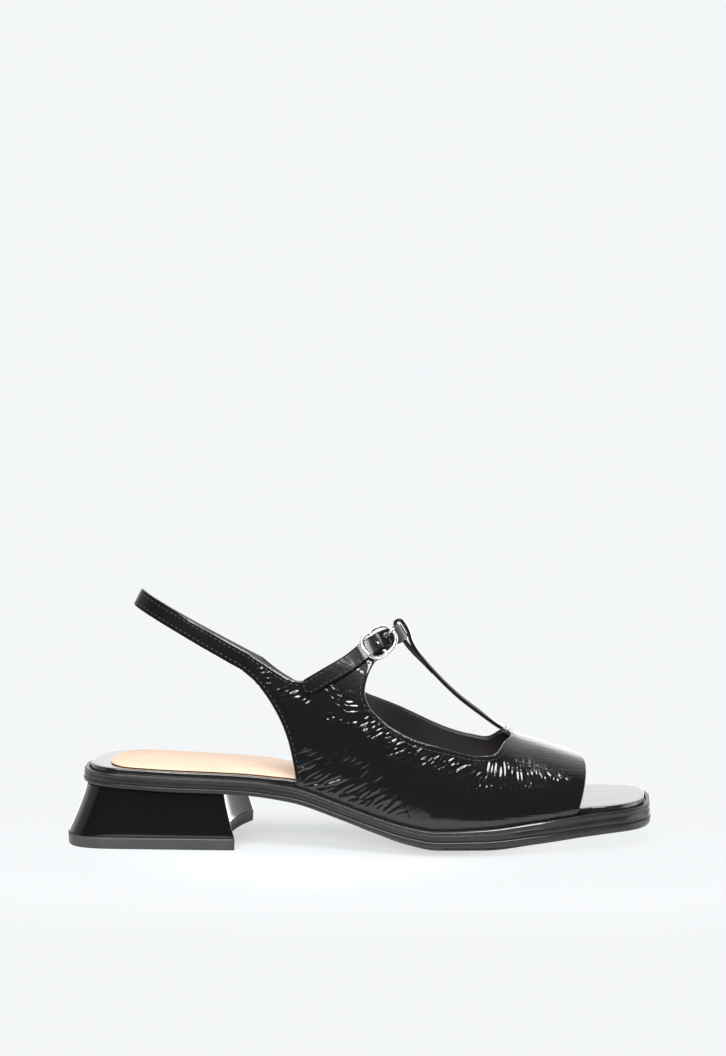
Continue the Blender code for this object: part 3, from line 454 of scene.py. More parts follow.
def heel_plan(share_down, lip=0.0):
    """Plan of the heel, from its top under the sole (0) to its foot (1)."""
    back = HEEL_BACK_TOP + (HEEL_BACK_FOOT - HEEL_BACK_TOP) * share_down - lip
    breast = HEEL_BREAST_TOP + (HEEL_BREAST_FOOT - HEEL_BREAST_TOP) * share_down + 0.5 * lip
    half = HEEL_HALF_TOP + (HEEL_HALF_FOOT - HEEL_HALF_TOP) * share_down + lip
    power = 2 / BLOCK_SQUARENESS
    turn = np.radians(np.linspace(0, 90, BACK_POINTS))
    back_stations = back + HEEL_ROUND * (1 - np.cos(turn) ** power)
    back_line = np.stack([back_stations, half * np.sin(turn) ** power], axis=1)
    flank_stations = np.linspace(back + HEEL_ROUND, breast - BREAST_FILLET, FLANK_POINTS)
    flank = np.stack([flank_stations, np.full(FLANK_POINTS, half)], axis=1)[1:]
    across = np.linspace(half - BREAST_FILLET, 0, FLANK_POINTS)
    breast_line = np.stack([breast - BREAST_HOLLOW * (1 - (across / half) ** 2), across], axis=1)
    start, end = flank[-1], breast_line[0]
    fillet = [start * (1 - t) ** 2 + np.array([breast, half]) * 2 * t * (1 - t) + end * t * t
              for t in FILLET_SHARES]
    side = np.concatenate([back_line, flank, fillet, breast_line])
    side[0, 1] = 0.0
    return np.concatenate([side * (1, LATERAL), side[-2:0:-1]])


heel_rings = []
block_foot = TOP_PIECE_HEIGHT + GAP
for share in HEEL_LEVELS:
    turned_in = HEEL_TURN_IN * max(0.0, (share - HEEL_TURN_FROM) / HEEL_TURN_SPAN)
    plan = inset_plan(heel_plan(share**HEEL_FLARE), turned_in)
    seat = column(SOLE_ROWS, "tread", plan[:, 0]) - GAP
    heel_rings.append(raised(plan, block_foot + (seat - block_foot) * (1 - share)))
heel_block = draw_up("covered_heel", heel_rings, hollow=True)

smooth_patent, shader = new_finish("smooth_patent", (0.004, 0.004, 0.0045), 0.22, 1.0, 0.025, specular=0.1)
tree = smooth_patent.node_tree
place = add_node(tree, "ShaderNodeTexCoord").outputs["Object"]
peel = noise_on(tree, place, 260.0, detail=2.0)
pull = noise_on(tree, place, 60.0, detail=1.0, stretch=(1.0, 1.0, 0.35))
tree.links.new(ranged(tree, peel, 0.3, 0.7, 0.20, 0.225), shader.inputs["Roughness"])
add_bump(tree, shader, peel, 0.00001, under=add_bump(tree, shader, pull, 0.000015))
heel_block.data.materials.append(smooth_patent)
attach(heel_block, "root")
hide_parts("heel_block")

# Heel top piece: a slab of hard black rubber that takes the wear. It is moulded a little wider than the
# heel block, and pinned and glued under it.
TOP_PIECE_LIP = 0.35
TopPieceWall = namedtuple("TopPieceWall", "lip height")
TOP_PIECE_WALL = (
    TopPieceWall(-0.4, 0.0), TopPieceWall(0.0, 0.12), TopPieceWall(0.12, 0.5), TopPieceWall(0.16, 1.0),
    TopPieceWall(0.28, TOP_PIECE_HEIGHT - 1.6), TopPieceWall(TOP_PIECE_LIP, TOP_PIECE_HEIGHT - 0.9),
    TopPieceWall(TOP_PIECE_LIP, TOP_PIECE_HEIGHT - 0.5), TopPieceWall(0.22, TOP_PIECE_HEIGHT - 0.25),
    TopPieceWall(-0.1, TOP_PIECE_HEIGHT),
)
top_piece_rings = [raised(heel_plan(1.0, lip), z) for lip, z in TOP_PIECE_WALL]
heel_top_piece = draw_up("rubber_top_piece", top_piece_rings, hollow=True)
top_rubber, shader = new_finish("hard_heel_rubber", (0.035, 0.035, 0.036), 0.45)
tree = top_rubber.node_tree
place = add_node(tree, "ShaderNodeTexCoord").outputs["Object"]
scuffs = noise_on(tree, place, 130.0, detail=6.0)
tree.links.new(ranged(tree, scuffs, 0.35, 0.7, 0.40, 0.58), shader.inputs["Roughness"])
tint_between(tree, shader, scuffs, (0.022, 0.022, 0.022), (0.036, 0.036, 0.035))
add_bump(tree, shader, noise_on(tree, place, 2200.0, detail=3.0), 0.00008)
heel_top_piece.data.materials.append(top_rubber)
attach(heel_top_piece, "root")
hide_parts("heel_top_piece")

# Insole: a board wrapped in a glossy black cover, with its edge rolled over. It lies in the sole's tray,
# and the upper is cemented in beside it.
INSOLE_PROUD, INSOLE_ROLL = 2.0, 0.5
ROLL_ANGLES, INSOLE_FLAT_RINGS = (0, 18, 36, 54, 72, 90), (3.0, 9.0)
INSOLE_INSET_OPEN, INSOLE_INSET_LASTED = 3.3, 5.3
LASTED_FROM, LASTED_TO = (87.0, 97.0), (224.0, 232.0)


def insole_plan(extra):
    """Plan of the insole, narrower where the upper lies beside it, moved further in by an extra inset."""
    station = sole_outline[:, 0]
    under_upper = smoothstep(*LASTED_FROM, station) * (1 - smoothstep(*LASTED_TO, station))
    inset = INSOLE_INSET_OPEN + (INSOLE_INSET_LASTED - INSOLE_INSET_OPEN) * under_upper
    return inset_plan(sole_outline, inset + extra)


insole_rings = []
roll_in = [(INSOLE_ROLL * (1 - math.cos(a)), INSOLE_PROUD - INSOLE_ROLL * (1 - math.sin(a)))
           for a in np.radians(ROLL_ANGLES)]
flat_part = [(inset, INSOLE_PROUD) for inset in INSOLE_FLAT_RINGS]
for extra, above_rim in ((0.0, GAP - TRAY_DEPTH), *roll_in, *flat_part):
    plan = insole_plan(extra)
    insole_rings.append(raised(plan, column(SOLE_ROWS, "rim", plan[:, 0]) + above_rim))
insole = draw_up("covered_insole", insole_rings)
insole_cover, shader = new_finish("glossy_insole_cover", (0.009, 0.009, 0.0095), 0.22, 1.0, 0.05)
tree = insole_cover.node_tree
place = add_node(tree, "ShaderNodeTexCoord").outputs["Object"]
hide_grain = noise_on(tree, place, 1100.0, detail=4.0)
drape = noise_on(tree, place, 170.0, detail=2.0, stretch=(0.2, 1.0, 1.0))
tree.links.new(ranged(tree, hide_grain, 0.3, 0.7, 0.20, 0.27), shader.inputs["Roughness"])
add_bump(tree, shader, hide_grain, 0.000012, under=add_bump(tree, shader, drape, 0.0002))
insole.data.materials.append(insole_cover)
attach(insole, "root")
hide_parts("insole")

# Sock: a thin tan leather sheet, narrower than the insole and cut on a slant at its front. It is glued
# over the heel end of the insole.
SOCK_THICK, SOCK_INSET, SOCK_FRONT = 0.7, 3.0, 121.0
SOCK_BACK, SOCK_BACK_REACH, SOCK_MEDIAL = 6.0, (6.0, 45.0), 4.0
SOCK_SLANT, SOCK_SLANT_CURVE, SOCK_HALF, SOCK_FRONT_Y = 54.0, 0.62, 27.0, -25.0
SockWall = namedtuple("SockWall", "inset height")
SOCK_WALL = (
    SockWall(0.0, 0.0), SockWall(0.0, 0.35), SockWall(0.1, 0.56), SockWall(0.35, SOCK_THICK),
    SockWall(4.0, SOCK_THICK), SockWall(9.0, SOCK_THICK),
)
sock_rings = []
for extra, above_base in SOCK_WALL:
    plan = insole_plan(SOCK_INSET + extra)
    plan[:, 0] += SOCK_BACK * (1 - smoothstep(*SOCK_BACK_REACH, plan[:, 0]))
    plan[:, 1] -= SOCK_MEDIAL * smoothstep(0.0, SOCK_HALF, plan[:, 1])
    half = len(plan) // 2
    kept = int(np.sum(plan[:half, 0] < SOCK_FRONT))
    lateral, medial = plan[:kept], plan[-1:-kept:-1]
    slant = np.clip((SOCK_FRONT - medial[:, 0]) / SOCK_SLANT, 0, 1) ** SOCK_SLANT_CURVE
    reach = SOCK_FRONT_Y + (SOCK_HALF - SOCK_FRONT_Y) * slant - extra
    medial[:, 1] = np.minimum(medial[:, 1], reach)
    around = np.concatenate([lateral, medial[::-1]])
    sock_rings.append((around, above_base))
# Only rings with as many points as the first one can be drawn up, and an even number of them.
sock_rings = [raised(around, column(SOLE_ROWS, "rim", around[:, 0]) + INSOLE_PROUD + GAP + above)
              for around, above in sock_rings if len(around) == len(sock_rings[0][0])]
if len(sock_rings[0]) % 2:
    sock_rings = [np.delete(ring, len(ring) // 2, axis=0) for ring in sock_rings]
sock = draw_up("tan_sock", sock_rings)
tan_leather, shader = new_finish("tan_sock_leather", (0.80, 0.58, 0.42), 0.5)
tree = tan_leather.node_tree
place = add_node(tree, "ShaderNodeTexCoord").outputs["Object"]
cloud = noise_on(tree, place, 24.0, detail=4.0)
pores = noise_on(tree, place, 1500.0, detail=4.0)
tint_between(tree, shader, ranged(tree, cloud, 0.3, 0.7, 0.0, 1.0), (0.68, 0.49, 0.36), (0.63, 0.43, 0.30))
tree.links.new(ranged(tree, pores, 0.3, 0.7, 0.42, 0.6), shader.inputs["Roughness"])
add_bump(tree, shader, pores, 0.00007)
sock.data.materials.append(tan_leather)
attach(sock, "root")
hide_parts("sock")

# Upper: one piece of crinkled black patent with a dark leather lining, cut flat as vamp, quarters, T-bar and
# sling, its edges turned and stitched, then drawn over the last and cemented in beside the insole.
WALL, EDGE_RADIUS = 1.6, 0.6
FEATHER_INSET, TUCK, TUCK_HEIGHT = 3.0, 0.7, 4.8
QUARTER_BACK = 98.9
TOE_EDGE_FEATHER, TOE_EDGE_AHEAD, TOE_EDGE_CURVE = 216.5, 6.2, 3.0
TBAR_HALF, TBAR_ROOT, TBAR_TOP = 4.2, 187.0, 150.0
TBAR_SAG_REACH, TBAR_CURL, TBAR_RISE, TBAR_CURL_END = 33.0, 1.1, 0.4, 54.0
TAIL_WALL, TAIL_THINNED, TAIL_END = 1.0, 0.65, 156.0
LOOP_ROOM, LOOP_LEAD, LOOP_FOOT = 0.3, 1.2, (147.3, 87.2)
SLING_WIDTH, SLING_TILT, SLING_REACH, SLING_TAPER = 8.2, math.radians(27.7), 58.6, 0.10
SLING_ROOTS = {LATERAL: (74.4, 75.4), MEDIAL: (74.4, 70.0)}
STRAP_WIDTH, STRAP_THICK, STRAP_TILT = 7.4, 1.3, math.radians(30.2)
STRAP_TIP, STRAP_REACH = (103.5, 67.7), 45.4
STRAP_LIFT, LIFT_FROM, LIFT_TO = 1.6, (18.0, 33.0), 36.0
BORDER_STEP, CLOTH_STEP, BORDER_ROWS = 1.5, 1.8, (0.25, 0.6)
CREASED_STEPS = {LATERAL: 0.80, MEDIAL: 1.3}
SECTION_SAMPLES, FEATHER_SAMPLES, TOE_POINTS, FEATHER_POINTS, WINDOW_STEP = 121, 60, 40, 80, 4.0
TBAR_POINTS, LOOP_POINTS, TBAR_STEP, TBAR_REACH = 16, 15, 0.6, 1.3 * TBAR_HALF
TBAR_BOW_IN, TBAR_BOW_OUT, TAIL_RUN, SLING_REACH_ACROSS = 14.0, 8.0, 1.4, 0.6
LOOP_STATION = TBAR_TOP - 10
CLEAR_SHARE, CLOTH_MARGIN, CLOTH_FIRST_ROW, CLOTH_ROW_PITCH, CLOTH_BATCH = 0.9, 0.6, 0.3, 0.87, 400
INSIDE_ONLY, SAME_POINT, MERGED, NEAR_EDGES, LEAST_WALL = 1, 1e-4, 0.00003, 3, 0.1

LastRow = namedtuple("LastRow", "station ridge offset upright across taper")
LAST_ROWS = (
    LastRow(70.0, 126.0, 0.0, 3.0, 2.0, 5.6),
    LastRow(98.0, 121.4, 0.0, 3.0, 2.0, 0.0),
    LastRow(128.0, 112.0, 0.5, 3.0, 2.0, 0.0),
    LastRow(141.0, 97.6, 1.0, 2.8, 2.1, 0.0),
    LastRow(150.6, 81.5, 1.6, 2.6, 2.2, 0.0),
    LastRow(159.4, 71.3, 2.0, 2.4, 2.2, 0.0),
    LastRow(168.3, 62.8, 2.4, 2.3, 2.3, 0.0),
    LastRow(177.1, 56.0, 2.8, 2.3, 2.3, 0.0),
    LastRow(186.0, 49.6, 3.0, 2.3, 2.4, 0.0),
    LastRow(194.0, 45.2, 3.2, 2.3, 2.4, 0.0),
    LastRow(206.0, 41.4, 3.4, 2.3, 2.5, 0.0),
    LastRow(226.0, 34.8, 3.6, 2.3, 2.6, 0.0),
)
CutLine = namedtuple("CutLine", "quarter_back topline tab_front window")
CUT_LINES = {
    LATERAL: CutLine(
        quarter_back=((96.7, 39.0), (92.8, 52.0), (86.8, 62.8), (80.5, 70.4), SLING_ROOTS[LATERAL]),
        topline=((84.0, 79.2), (91.3, 74.8), (97.0, 72.2), (104.0, 72.4), (114.0, 77.4), (124.0, 82.7)),
        tab_front=((129.6, 85.6), (132.0, 81.4)),
        window=((130.6, 77.8), (128.3, 72.0), (128.0, 65.0), (131.5, 59.2), (141.0, 51.8), (150.5, 47.4),
                (163.0, 43.8), (176.0, 40.9), (182.0, 41.2)),
    ),
    MEDIAL: CutLine(
        quarter_back=((97.2, 38.0), (93.2, 50.0), (87.2, 59.8), (80.5, 66.6), SLING_ROOTS[MEDIAL]),
        topline=((84.0, 72.4), (91.3, 67.6), (97.0, 65.0), (104.0, 64.8), (112.0, 68.8)),
        tab_front=((118.0, 72.2), (122.6, 70.6)),
        window=((120.8, 67.6), (121.6, 64.2), (131.5, 58.0), (150.5, 49.4), (168.0, 42.4), (180.0, 40.2)),
    ),
}
# The front corner of each window, as stations and distances from the ridge.
WINDOW_CORNER = ((187.0, 20.0), (190.2, 9.4), (189.6, 5.4))

# Main creases: rows of soft ridges with a trough on each side. A row runs from one station and height to
# another on its side; its creases rise to the toe at the first angle where it starts, and at the second
# where it ends. The order of the rows is the order of the random draws.
CREASE_WANDER, CREASE_TURN, CREASE_BOW, CREASE_FADE = 0.35, 9, 0.12, 0.75
CREASE_HEIGHTS, TROUGH_AT, TROUGH_DEPTH, CREASED_FROM_EDGE = (0.6, 1.0), 1.8, 0.5, (0.6, 3.0)
CreaseRow = namedtuple("CreaseRow", "side start end angles count lengths height half_width stray")
CREASE_ROWS = (
    CreaseRow(LATERAL, (81.0, 78.5), (96.0, 66.0), (12, 20), 13, (4.0, 8.0), 0.13, 0.55, 3.0),
    CreaseRow(LATERAL, (95.0, 68.0), (104.0, 62.5), (30, 35), 6, (3.0, 5.0), 0.16, 0.46, 1.2),
    CreaseRow(LATERAL, (109.6, 69.5), (119.0, 59.0), (-54, -36), 5, (3.2, 4.4), 0.17, 0.44, 0.5),
    CreaseRow(LATERAL, (114.0, 68.0), (120.0, 61.5), (-48, -30), 3, (2.4, 3.6), 0.16, 0.44, 0.6),
    CreaseRow(LATERAL, (122.0, 63.8), (123.0, 55.2), (-6, 4), 4, (4.5, 7.0), 0.17, 0.44, 1.2),
    CreaseRow(LATERAL, (113.0, 56.5), (129.0, 52.6), (6, 26), 9, (1.6, 2.8), 0.17, 0.44, 1.2),
    CreaseRow(LATERAL, (127.0, 54.0), (138.0, 45.5), (30, 35), 11, (3.0, 5.6), 0.22, 0.46, 2.4),
    CreaseRow(LATERAL, (135.0, 50.0), (171.0, 35.8), (38, 30), 25, (3.6, 6.8), 0.23, 0.46, 1.4),
    CreaseRow(LATERAL, (139.0, 45.0), (168.0, 34.2), (32, 22), 19, (3.6, 7.2), 0.23, 0.46, 1.4),
    CreaseRow(LATERAL, (135.0, 40.5), (152.0, 37.5), (30, 30), 4, (10.0, 15.0), 0.15, 0.50, 0.8),
    CreaseRow(LATERAL, (141.0, 42.2), (145.0, 43.6), (29, 31), 2, (14.0, 16.0), 0.24, 0.46, 0.2),
    CreaseRow(LATERAL, (129.0, 56.5), (146.0, 47.0), (33, 40), 9, (2.8, 5.4), 0.23, 0.44, 0.8),
    CreaseRow(LATERAL, (170.0, 33.2), (179.0, 32.8), (34, 62), 6, (3.6, 6.0), 0.18, 0.46, 1.0),
    CreaseRow(LATERAL, (179.0, 34.2), (198.0, 34.6), (78, 106), 10, (6.0, 10.0), 0.21, 0.46, 1.0),
    CreaseRow(LATERAL, (181.0, 37.4), (197.0, 37.2), (84, 110), 7, (3.4, 6.0), 0.21, 0.46, 0.8),
    CreaseRow(LATERAL, (197.5, 34.0), (213.0, 31.4), (112, 126), 9, (3.6, 6.4), 0.26, 0.46, 0.8),
    CreaseRow(LATERAL, (203.0, 32.4), (213.0, 31.0), (46, 46), 5, (1.8, 3.0), 0.22, 0.46, 0.8),
    CreaseRow(LATERAL, (172.0, 28.6), (197.0, 28.2), (60, 92), 11, (1.6, 2.8), 0.16, 0.46, 1.0),
    CreaseRow(LATERAL, (99.0, 44.5), (112.0, 38.5), (26, 34), 7, (6.0, 10.0), 0.13, 0.55, 1.6),
    CreaseRow(LATERAL, (99.5, 37.0), (140.0, 19.5), (27, 36), 24, (9.0, 16.0), 0.14, 0.55, 2.0),
    CreaseRow(LATERAL, (102.0, 29.0), (124.0, 20.5), (16, 30), 12, (6.0, 11.0), 0.13, 0.55, 2.0),
    CreaseRow(LATERAL, (116.0, 43.0), (134.0, 34.0), (30, 37), 9, (8.0, 13.0), 0.14, 0.55, 1.6),
    CreaseRow(MEDIAL, (83.0, 71.0), (102.0, 58.0), (14, 24), 13, (4.0, 9.0), 0.13, 0.60, 3.0),
    CreaseRow(MEDIAL, (106.0, 60.0), (126.0, 54.0), (0, 30), 11, (3.0, 7.0), 0.13, 0.60, 3.0),
    CreaseRow(MEDIAL, (126.0, 55.0), (174.0, 36.0), (38, 30), 26, (4.0, 8.0), 0.15, 0.60, 2.5),
    CreaseRow(MEDIAL, (172.0, 34.0), (214.0, 31.0), (48, 122), 25, (4.0, 9.0), 0.15, 0.60, 2.5),
    CreaseRow(MEDIAL, (102.0, 42.0), (150.0, 18.0), (30, 40), 18, (8.0, 15.0), 0.12, 0.80, 4.0),
    CreaseRow(LATERAL, (137.0, 49.0), (156.0, 41.0), (37, 34), 14, (3.2, 6.4), 0.25, 0.44, 1.5),
    CreaseRow(LATERAL, (131.0, 52.6), (143.0, 46.6), (33, 38), 7, (2.6, 4.8), 0.24, 0.44, 1.3),
    CreaseRow(LATERAL, (156.0, 40.0), (170.0, 36.0), (33, 28), 9, (3.6, 6.8), 0.24, 0.44, 1.2),
)


def spline(knots, values, at):
    """Natural cubic spline through the values at the knots."""
    step = np.diff(knots)
    rise = np.diff(values) / step
    system, right = np.eye(len(knots)), np.zeros(len(knots))
    for i in range(1, len(knots) - 1):
        system[i, i - 1 : i + 2] = step[i - 1], 2 * (step[i - 1] + step[i]), step[i]
        right[i] = 6 * (rise[i] - rise[i - 1])
    bend = np.linalg.solve(system, right)
    i = np.clip(np.searchsorted(knots, at) - 1, 0, len(step) - 1)
    past, left, h = at - knots[i], knots[i + 1] - at, step[i]
    return ((bend[i] * left**3 + bend[i + 1] * past**3) / (6 * h)
            + (values[i] / h - bend[i] * h / 6) * left + (values[i + 1] / h - bend[i + 1] * h / 6) * past)


def run_along(points):
    """Distance of each point of a line from its start."""
    return np.concatenate([[0], np.cumsum(np.linalg.norm(np.diff(points, axis=0), axis=1))])


def through(points, spacing):
    """Points at about even spacing along a smooth curve through the given ones."""
    points = np.asarray(points, float)
    knots = run_along(points)
    at = np.linspace(0, knots[-1], max(2, round(knots[-1] / spacing) + 1))
    return np.stack([spline(knots, points[:, k], at) for k in range(points.shape[1])], axis=1)


def last_base(station):
    """Height of the last's feather at a station, just above the sole's tray."""
    return column(SOLE_ROWS, "rim", station) - TRAY_DEPTH + GAP


def last_point(station, angle, side):
    """y and z on the last at a station, from its feather (angle 0) up to its ridge (a right angle)."""
    ridge, offset, upright, across, taper = (column(LAST_ROWS, name, station) for name in LastRow._fields[1:])
    base = last_base(station)
    height = base + (ridge - base) * np.clip(np.sin(angle), 0, 1) ** (2 / upright)
    tuck = TUCK * np.clip(1 - (height - base) / TUCK_HEIGHT, 0, 1) ** 2
    breadth = np.where(side == LATERAL, half_breadth(station, LATERAL), half_breadth(station, MEDIAL))
    feather = side * (breadth - FEATHER_INSET + TUCK - taper)
    y = offset + (feather - offset) * np.clip(np.cos(angle), 0, 1) ** (2 / across) - side * tuck
    return y, height


def angle_at_height(station, height):
    """Angle round the last, from its feather, at a station and height."""
    ridge, upright = (column(LAST_ROWS, name, station) for name in ("ridge", "upright"))
    base = last_base(station)
    return np.arcsin(np.clip((height - base) / (ridge - base), 0, 1) ** (upright / 2))


def girth_to(station, angle, side):
    """Distance round the last from its ridge down to an angle, lateral ones below zero."""
    station, angle = np.atleast_1d(np.asarray(station, float)), np.atleast_1d(np.asarray(angle, float))
    turn = np.pi / 2 + (angle[:, None] - np.pi / 2) * np.linspace(0, 1, SECTION_SAMPLES)
    y, z = last_point(station[:, None], turn, side)
    return side * np.hypot(np.diff(y, axis=1), np.diff(z, axis=1)).sum(axis=1)


def girth_at_height(station, height, side):
    """Distance round the last from its ridge down to a height."""
    return girth_to(station, angle_at_height(np.asarray(station, float), height), side)


def girth_at_breadth(station, distance, side):
    """Distance round the last from its ridge out to a distance from the ridge in plan."""
    angles = np.radians(np.linspace(90, 0, SECTION_SAMPLES))
    y, _ = last_point(np.full(SECTION_SAMPLES, station), angles, side)
    beyond = side * (y - column(LAST_ROWS, "offset", station))
    widest = int(np.argmax(beyond))
    return girth_to(station, np.interp(distance, beyond[: widest + 1], angles[: widest + 1]), side)[0]


def on_last(station, girth):
    """Points of the last at stations and distances round from its ridge, lateral ones below zero."""
    side = np.where(girth < 0, LATERAL, MEDIAL)
    angles = np.radians(np.linspace(90, 0, SECTION_SAMPLES))
    y, z = last_point(station[:, None], angles[None, :], side[:, None])
    run = np.hypot(np.diff(y, axis=1), np.diff(z, axis=1)).cumsum(axis=1)
    run = np.concatenate([np.zeros((len(run), 1)), run], axis=1)
    wanted, rows = np.abs(girth), np.arange(len(run))
    cell = np.clip((run < wanted[:, None]).sum(axis=1) - 1, 0, SECTION_SAMPLES - 2)
    share = (wanted - run[rows, cell]) / (run[rows, cell + 1] - run[rows, cell])
    angle = angles[cell] + (angles[cell + 1] - angles[cell]) * np.clip(share, 0, 1)
    y, z = last_point(station, angle, side)
    return np.column_stack([station, y, z])


def strap_directions():
    """Outward at the front of the instep, and across the strap's width, in the side view."""
    return (np.array([math.cos(STRAP_TILT), math.sin(STRAP_TILT)]),
            np.array([-math.sin(STRAP_TILT), math.cos(STRAP_TILT)]))


def strap_side_point(run):
    """Side-view station and height of the strap's middle line at runs from its end."""
    forward, up = strap_directions()
    run = np.asarray(run, float)
    lift = STRAP_LIFT * smoothstep(*LIFT_FROM, run) * (1 - smoothstep(LIFT_TO, STRAP_REACH, run))
    return np.array(STRAP_TIP) + forward * run[..., None] + up * lift[..., None]


def tail_left(station):
    """Share of the tail's wall that its thinning leaves at a station."""
    return 1 - TAIL_THINNED * smoothstep(TBAR_TOP, TAIL_END, station)


def tbar_side_line():
    """Side-view line of the T-bar's outer face: up the ridge, over the strap and back under itself."""
    stations = np.linspace(TBAR_ROOT, TBAR_TOP, TBAR_POINTS)
    line = [np.array([s, column(LAST_ROWS, "ridge", s)]) for s in stations]
    forward, up = strap_directions()
    core = strap_side_point(STRAP_REACH + STRAP_THICK / 2)
    outer = STRAP_THICK / 2 + LOOP_ROOM + WALL
    reach = STRAP_WIDTH / 2 + LOOP_ROOM
    line.append(np.array(LOOP_FOOT))
    line.append(core + outer * forward - LOOP_LEAD * up)
    for turn in np.radians(np.linspace(0, 180, LOOP_POINTS)):
        line.append(core + reach * up + outer * (math.cos(turn) * forward + math.sin(turn) * up))
    line.append(core - outer * forward)
    line.append(core - outer * forward - reach * up)
    ridge = np.array(line[: len(stations)])
    ahead = -np.gradient(ridge, axis=0)
    inward = np.column_stack([-ahead[:, 1], ahead[:, 0]]) / np.linalg.norm(ahead, axis=1, keepdims=True)
    tail = ridge - inward * (WALL + TAIL_WALL * tail_left(ridge[:, 0]))[:, None]
    line += [point for point in tail[::-1] if TBAR_TOP < point[0] < TAIL_END]
    return through(line, TBAR_STEP)


tbar_line = tbar_side_line()
tbar_run = run_along(tbar_line)
tail_start = tbar_run[-1] - (TAIL_END - TBAR_TOP) * TAIL_RUN
sling_back = np.array([-math.cos(SLING_TILT), math.sin(SLING_TILT)])
sling_across = np.array([math.sin(SLING_TILT), math.cos(SLING_TILT)])


def sling_root(side, share):
    """Side-view points of the line where the sling leaves its quarter, from its lower edge (0) up (1)."""
    return np.array(SLING_ROOTS[side]) + sling_across * SLING_WIDTH * np.asarray(share, float)[..., None]


sling_turns, sling_runs, root_ends = np.linspace(0, np.pi / 2, 200), {}, {}
for side in (LATERAL, MEDIAL):
    low, middle, high = sling_root(side, (0.0, 0.5, 1.0))
    half = abs(last_point(middle[0], angle_at_height(*middle), side)[0])
    reach = SLING_REACH * np.sin(sling_turns)
    sling_runs[side] = run_along(np.column_stack([reach, (half - SLING_TAPER * reach) * np.cos(sling_turns)]))
    root_ends[side] = [np.array([s, girth_at_height(s, z, side)[0]]) for s, z in (low, high)]


def sling_way(side):
    """Direction in which the sling leaves its quarter, on the flat pattern."""
    low, high = root_ends[side]
    width = high - low
    back = np.array([-width[1], width[0]]) * -side
    return back / np.linalg.norm(back)


def sling_place(points, side):
    """Run along the sling and share of its width for points of the flat pattern."""
    low, high = root_ends[side]
    width = high - low
    return (points - low) @ sling_way(side), (points - low) @ width / (width @ width)


def on_sling(side, along, share):
    """Points of the sling's outer face, a strap bent round the heel in a tilted plane."""
    turn = np.interp(along, sling_runs[side], sling_turns)
    root = sling_root(side, share)
    breadth = np.abs(last_point(root[:, 0], angle_at_height(root[:, 0], root[:, 1]), side)[0])
    reach = SLING_REACH * np.sin(turn)
    place = root + sling_back * reach[:, None]
    drop = SLING_ROOTS[LATERAL][1] - SLING_ROOTS[side][1]
    height = place[:, 1] + drop * (1 - np.cos(turn))
    return np.column_stack([place[:, 0], side * (breadth - SLING_TAPER * reach) * np.cos(turn), height])


def on_tbar(back, girth):
    """Points of the T-bar's outer face at distances back from its root and across from its middle."""
    station, height = (np.interp(back, tbar_run, tbar_line[:, k]) for k in (0, 1))
    root = on_last(np.full(len(girth), TBAR_ROOT), girth)
    offset = column(LAST_ROWS, "offset", np.maximum(station, LOOP_STATION))
    from_middle = root[:, 1] - column(LAST_ROWS, "offset", TBAR_ROOT)
    sag = (root[:, 2] - tbar_line[0, 1]) * np.clip(1 - back / TBAR_SAG_REACH, 0, 1)
    bowed = smoothstep(0, TBAR_BOW_IN, back)
    bowed = bowed * (1 - smoothstep(TBAR_CURL_END - TBAR_BOW_OUT, TBAR_CURL_END, back))
    sag = sag + bowed * (TBAR_RISE - TBAR_CURL * (from_middle / TBAR_HALF) ** 2)
    return np.column_stack([station, offset + from_middle, height + sag])


def on_pattern(points):
    """Outer-face points of the upper for points of its flat pattern of stations and girths."""
    points = np.asarray(points, float)
    placed = on_last(np.clip(points[:, 0], LAST_ROWS[0].station, LAST_ROWS[-1].station), points[:, 1])
    tbar = (np.abs(points[:, 1]) < TBAR_REACH) & (points[:, 0] < TBAR_ROOT)
    placed[tbar] = on_tbar(TBAR_ROOT - points[tbar, 0], points[tbar, 1])
    for side in (LATERAL, MEDIAL):
        along, share = sling_place(points, side)
        across = np.abs(share - 0.5) < SLING_REACH_ACROSS
        sling = (along > 0) & across & (points[:, 1] * side > 0) & ~tbar
        placed[sling] = on_sling(side, along[sling], share[sling])
    return placed


def straight(start, end, spacing):
    """Points from a start to an end at about even spacing, without the start."""
    start, end = np.asarray(start, float), np.asarray(end, float)
    count = max(1, round(np.linalg.norm(end - start) / spacing))
    return start + (end - start) * np.linspace(0, 1, count + 1)[1:, None]


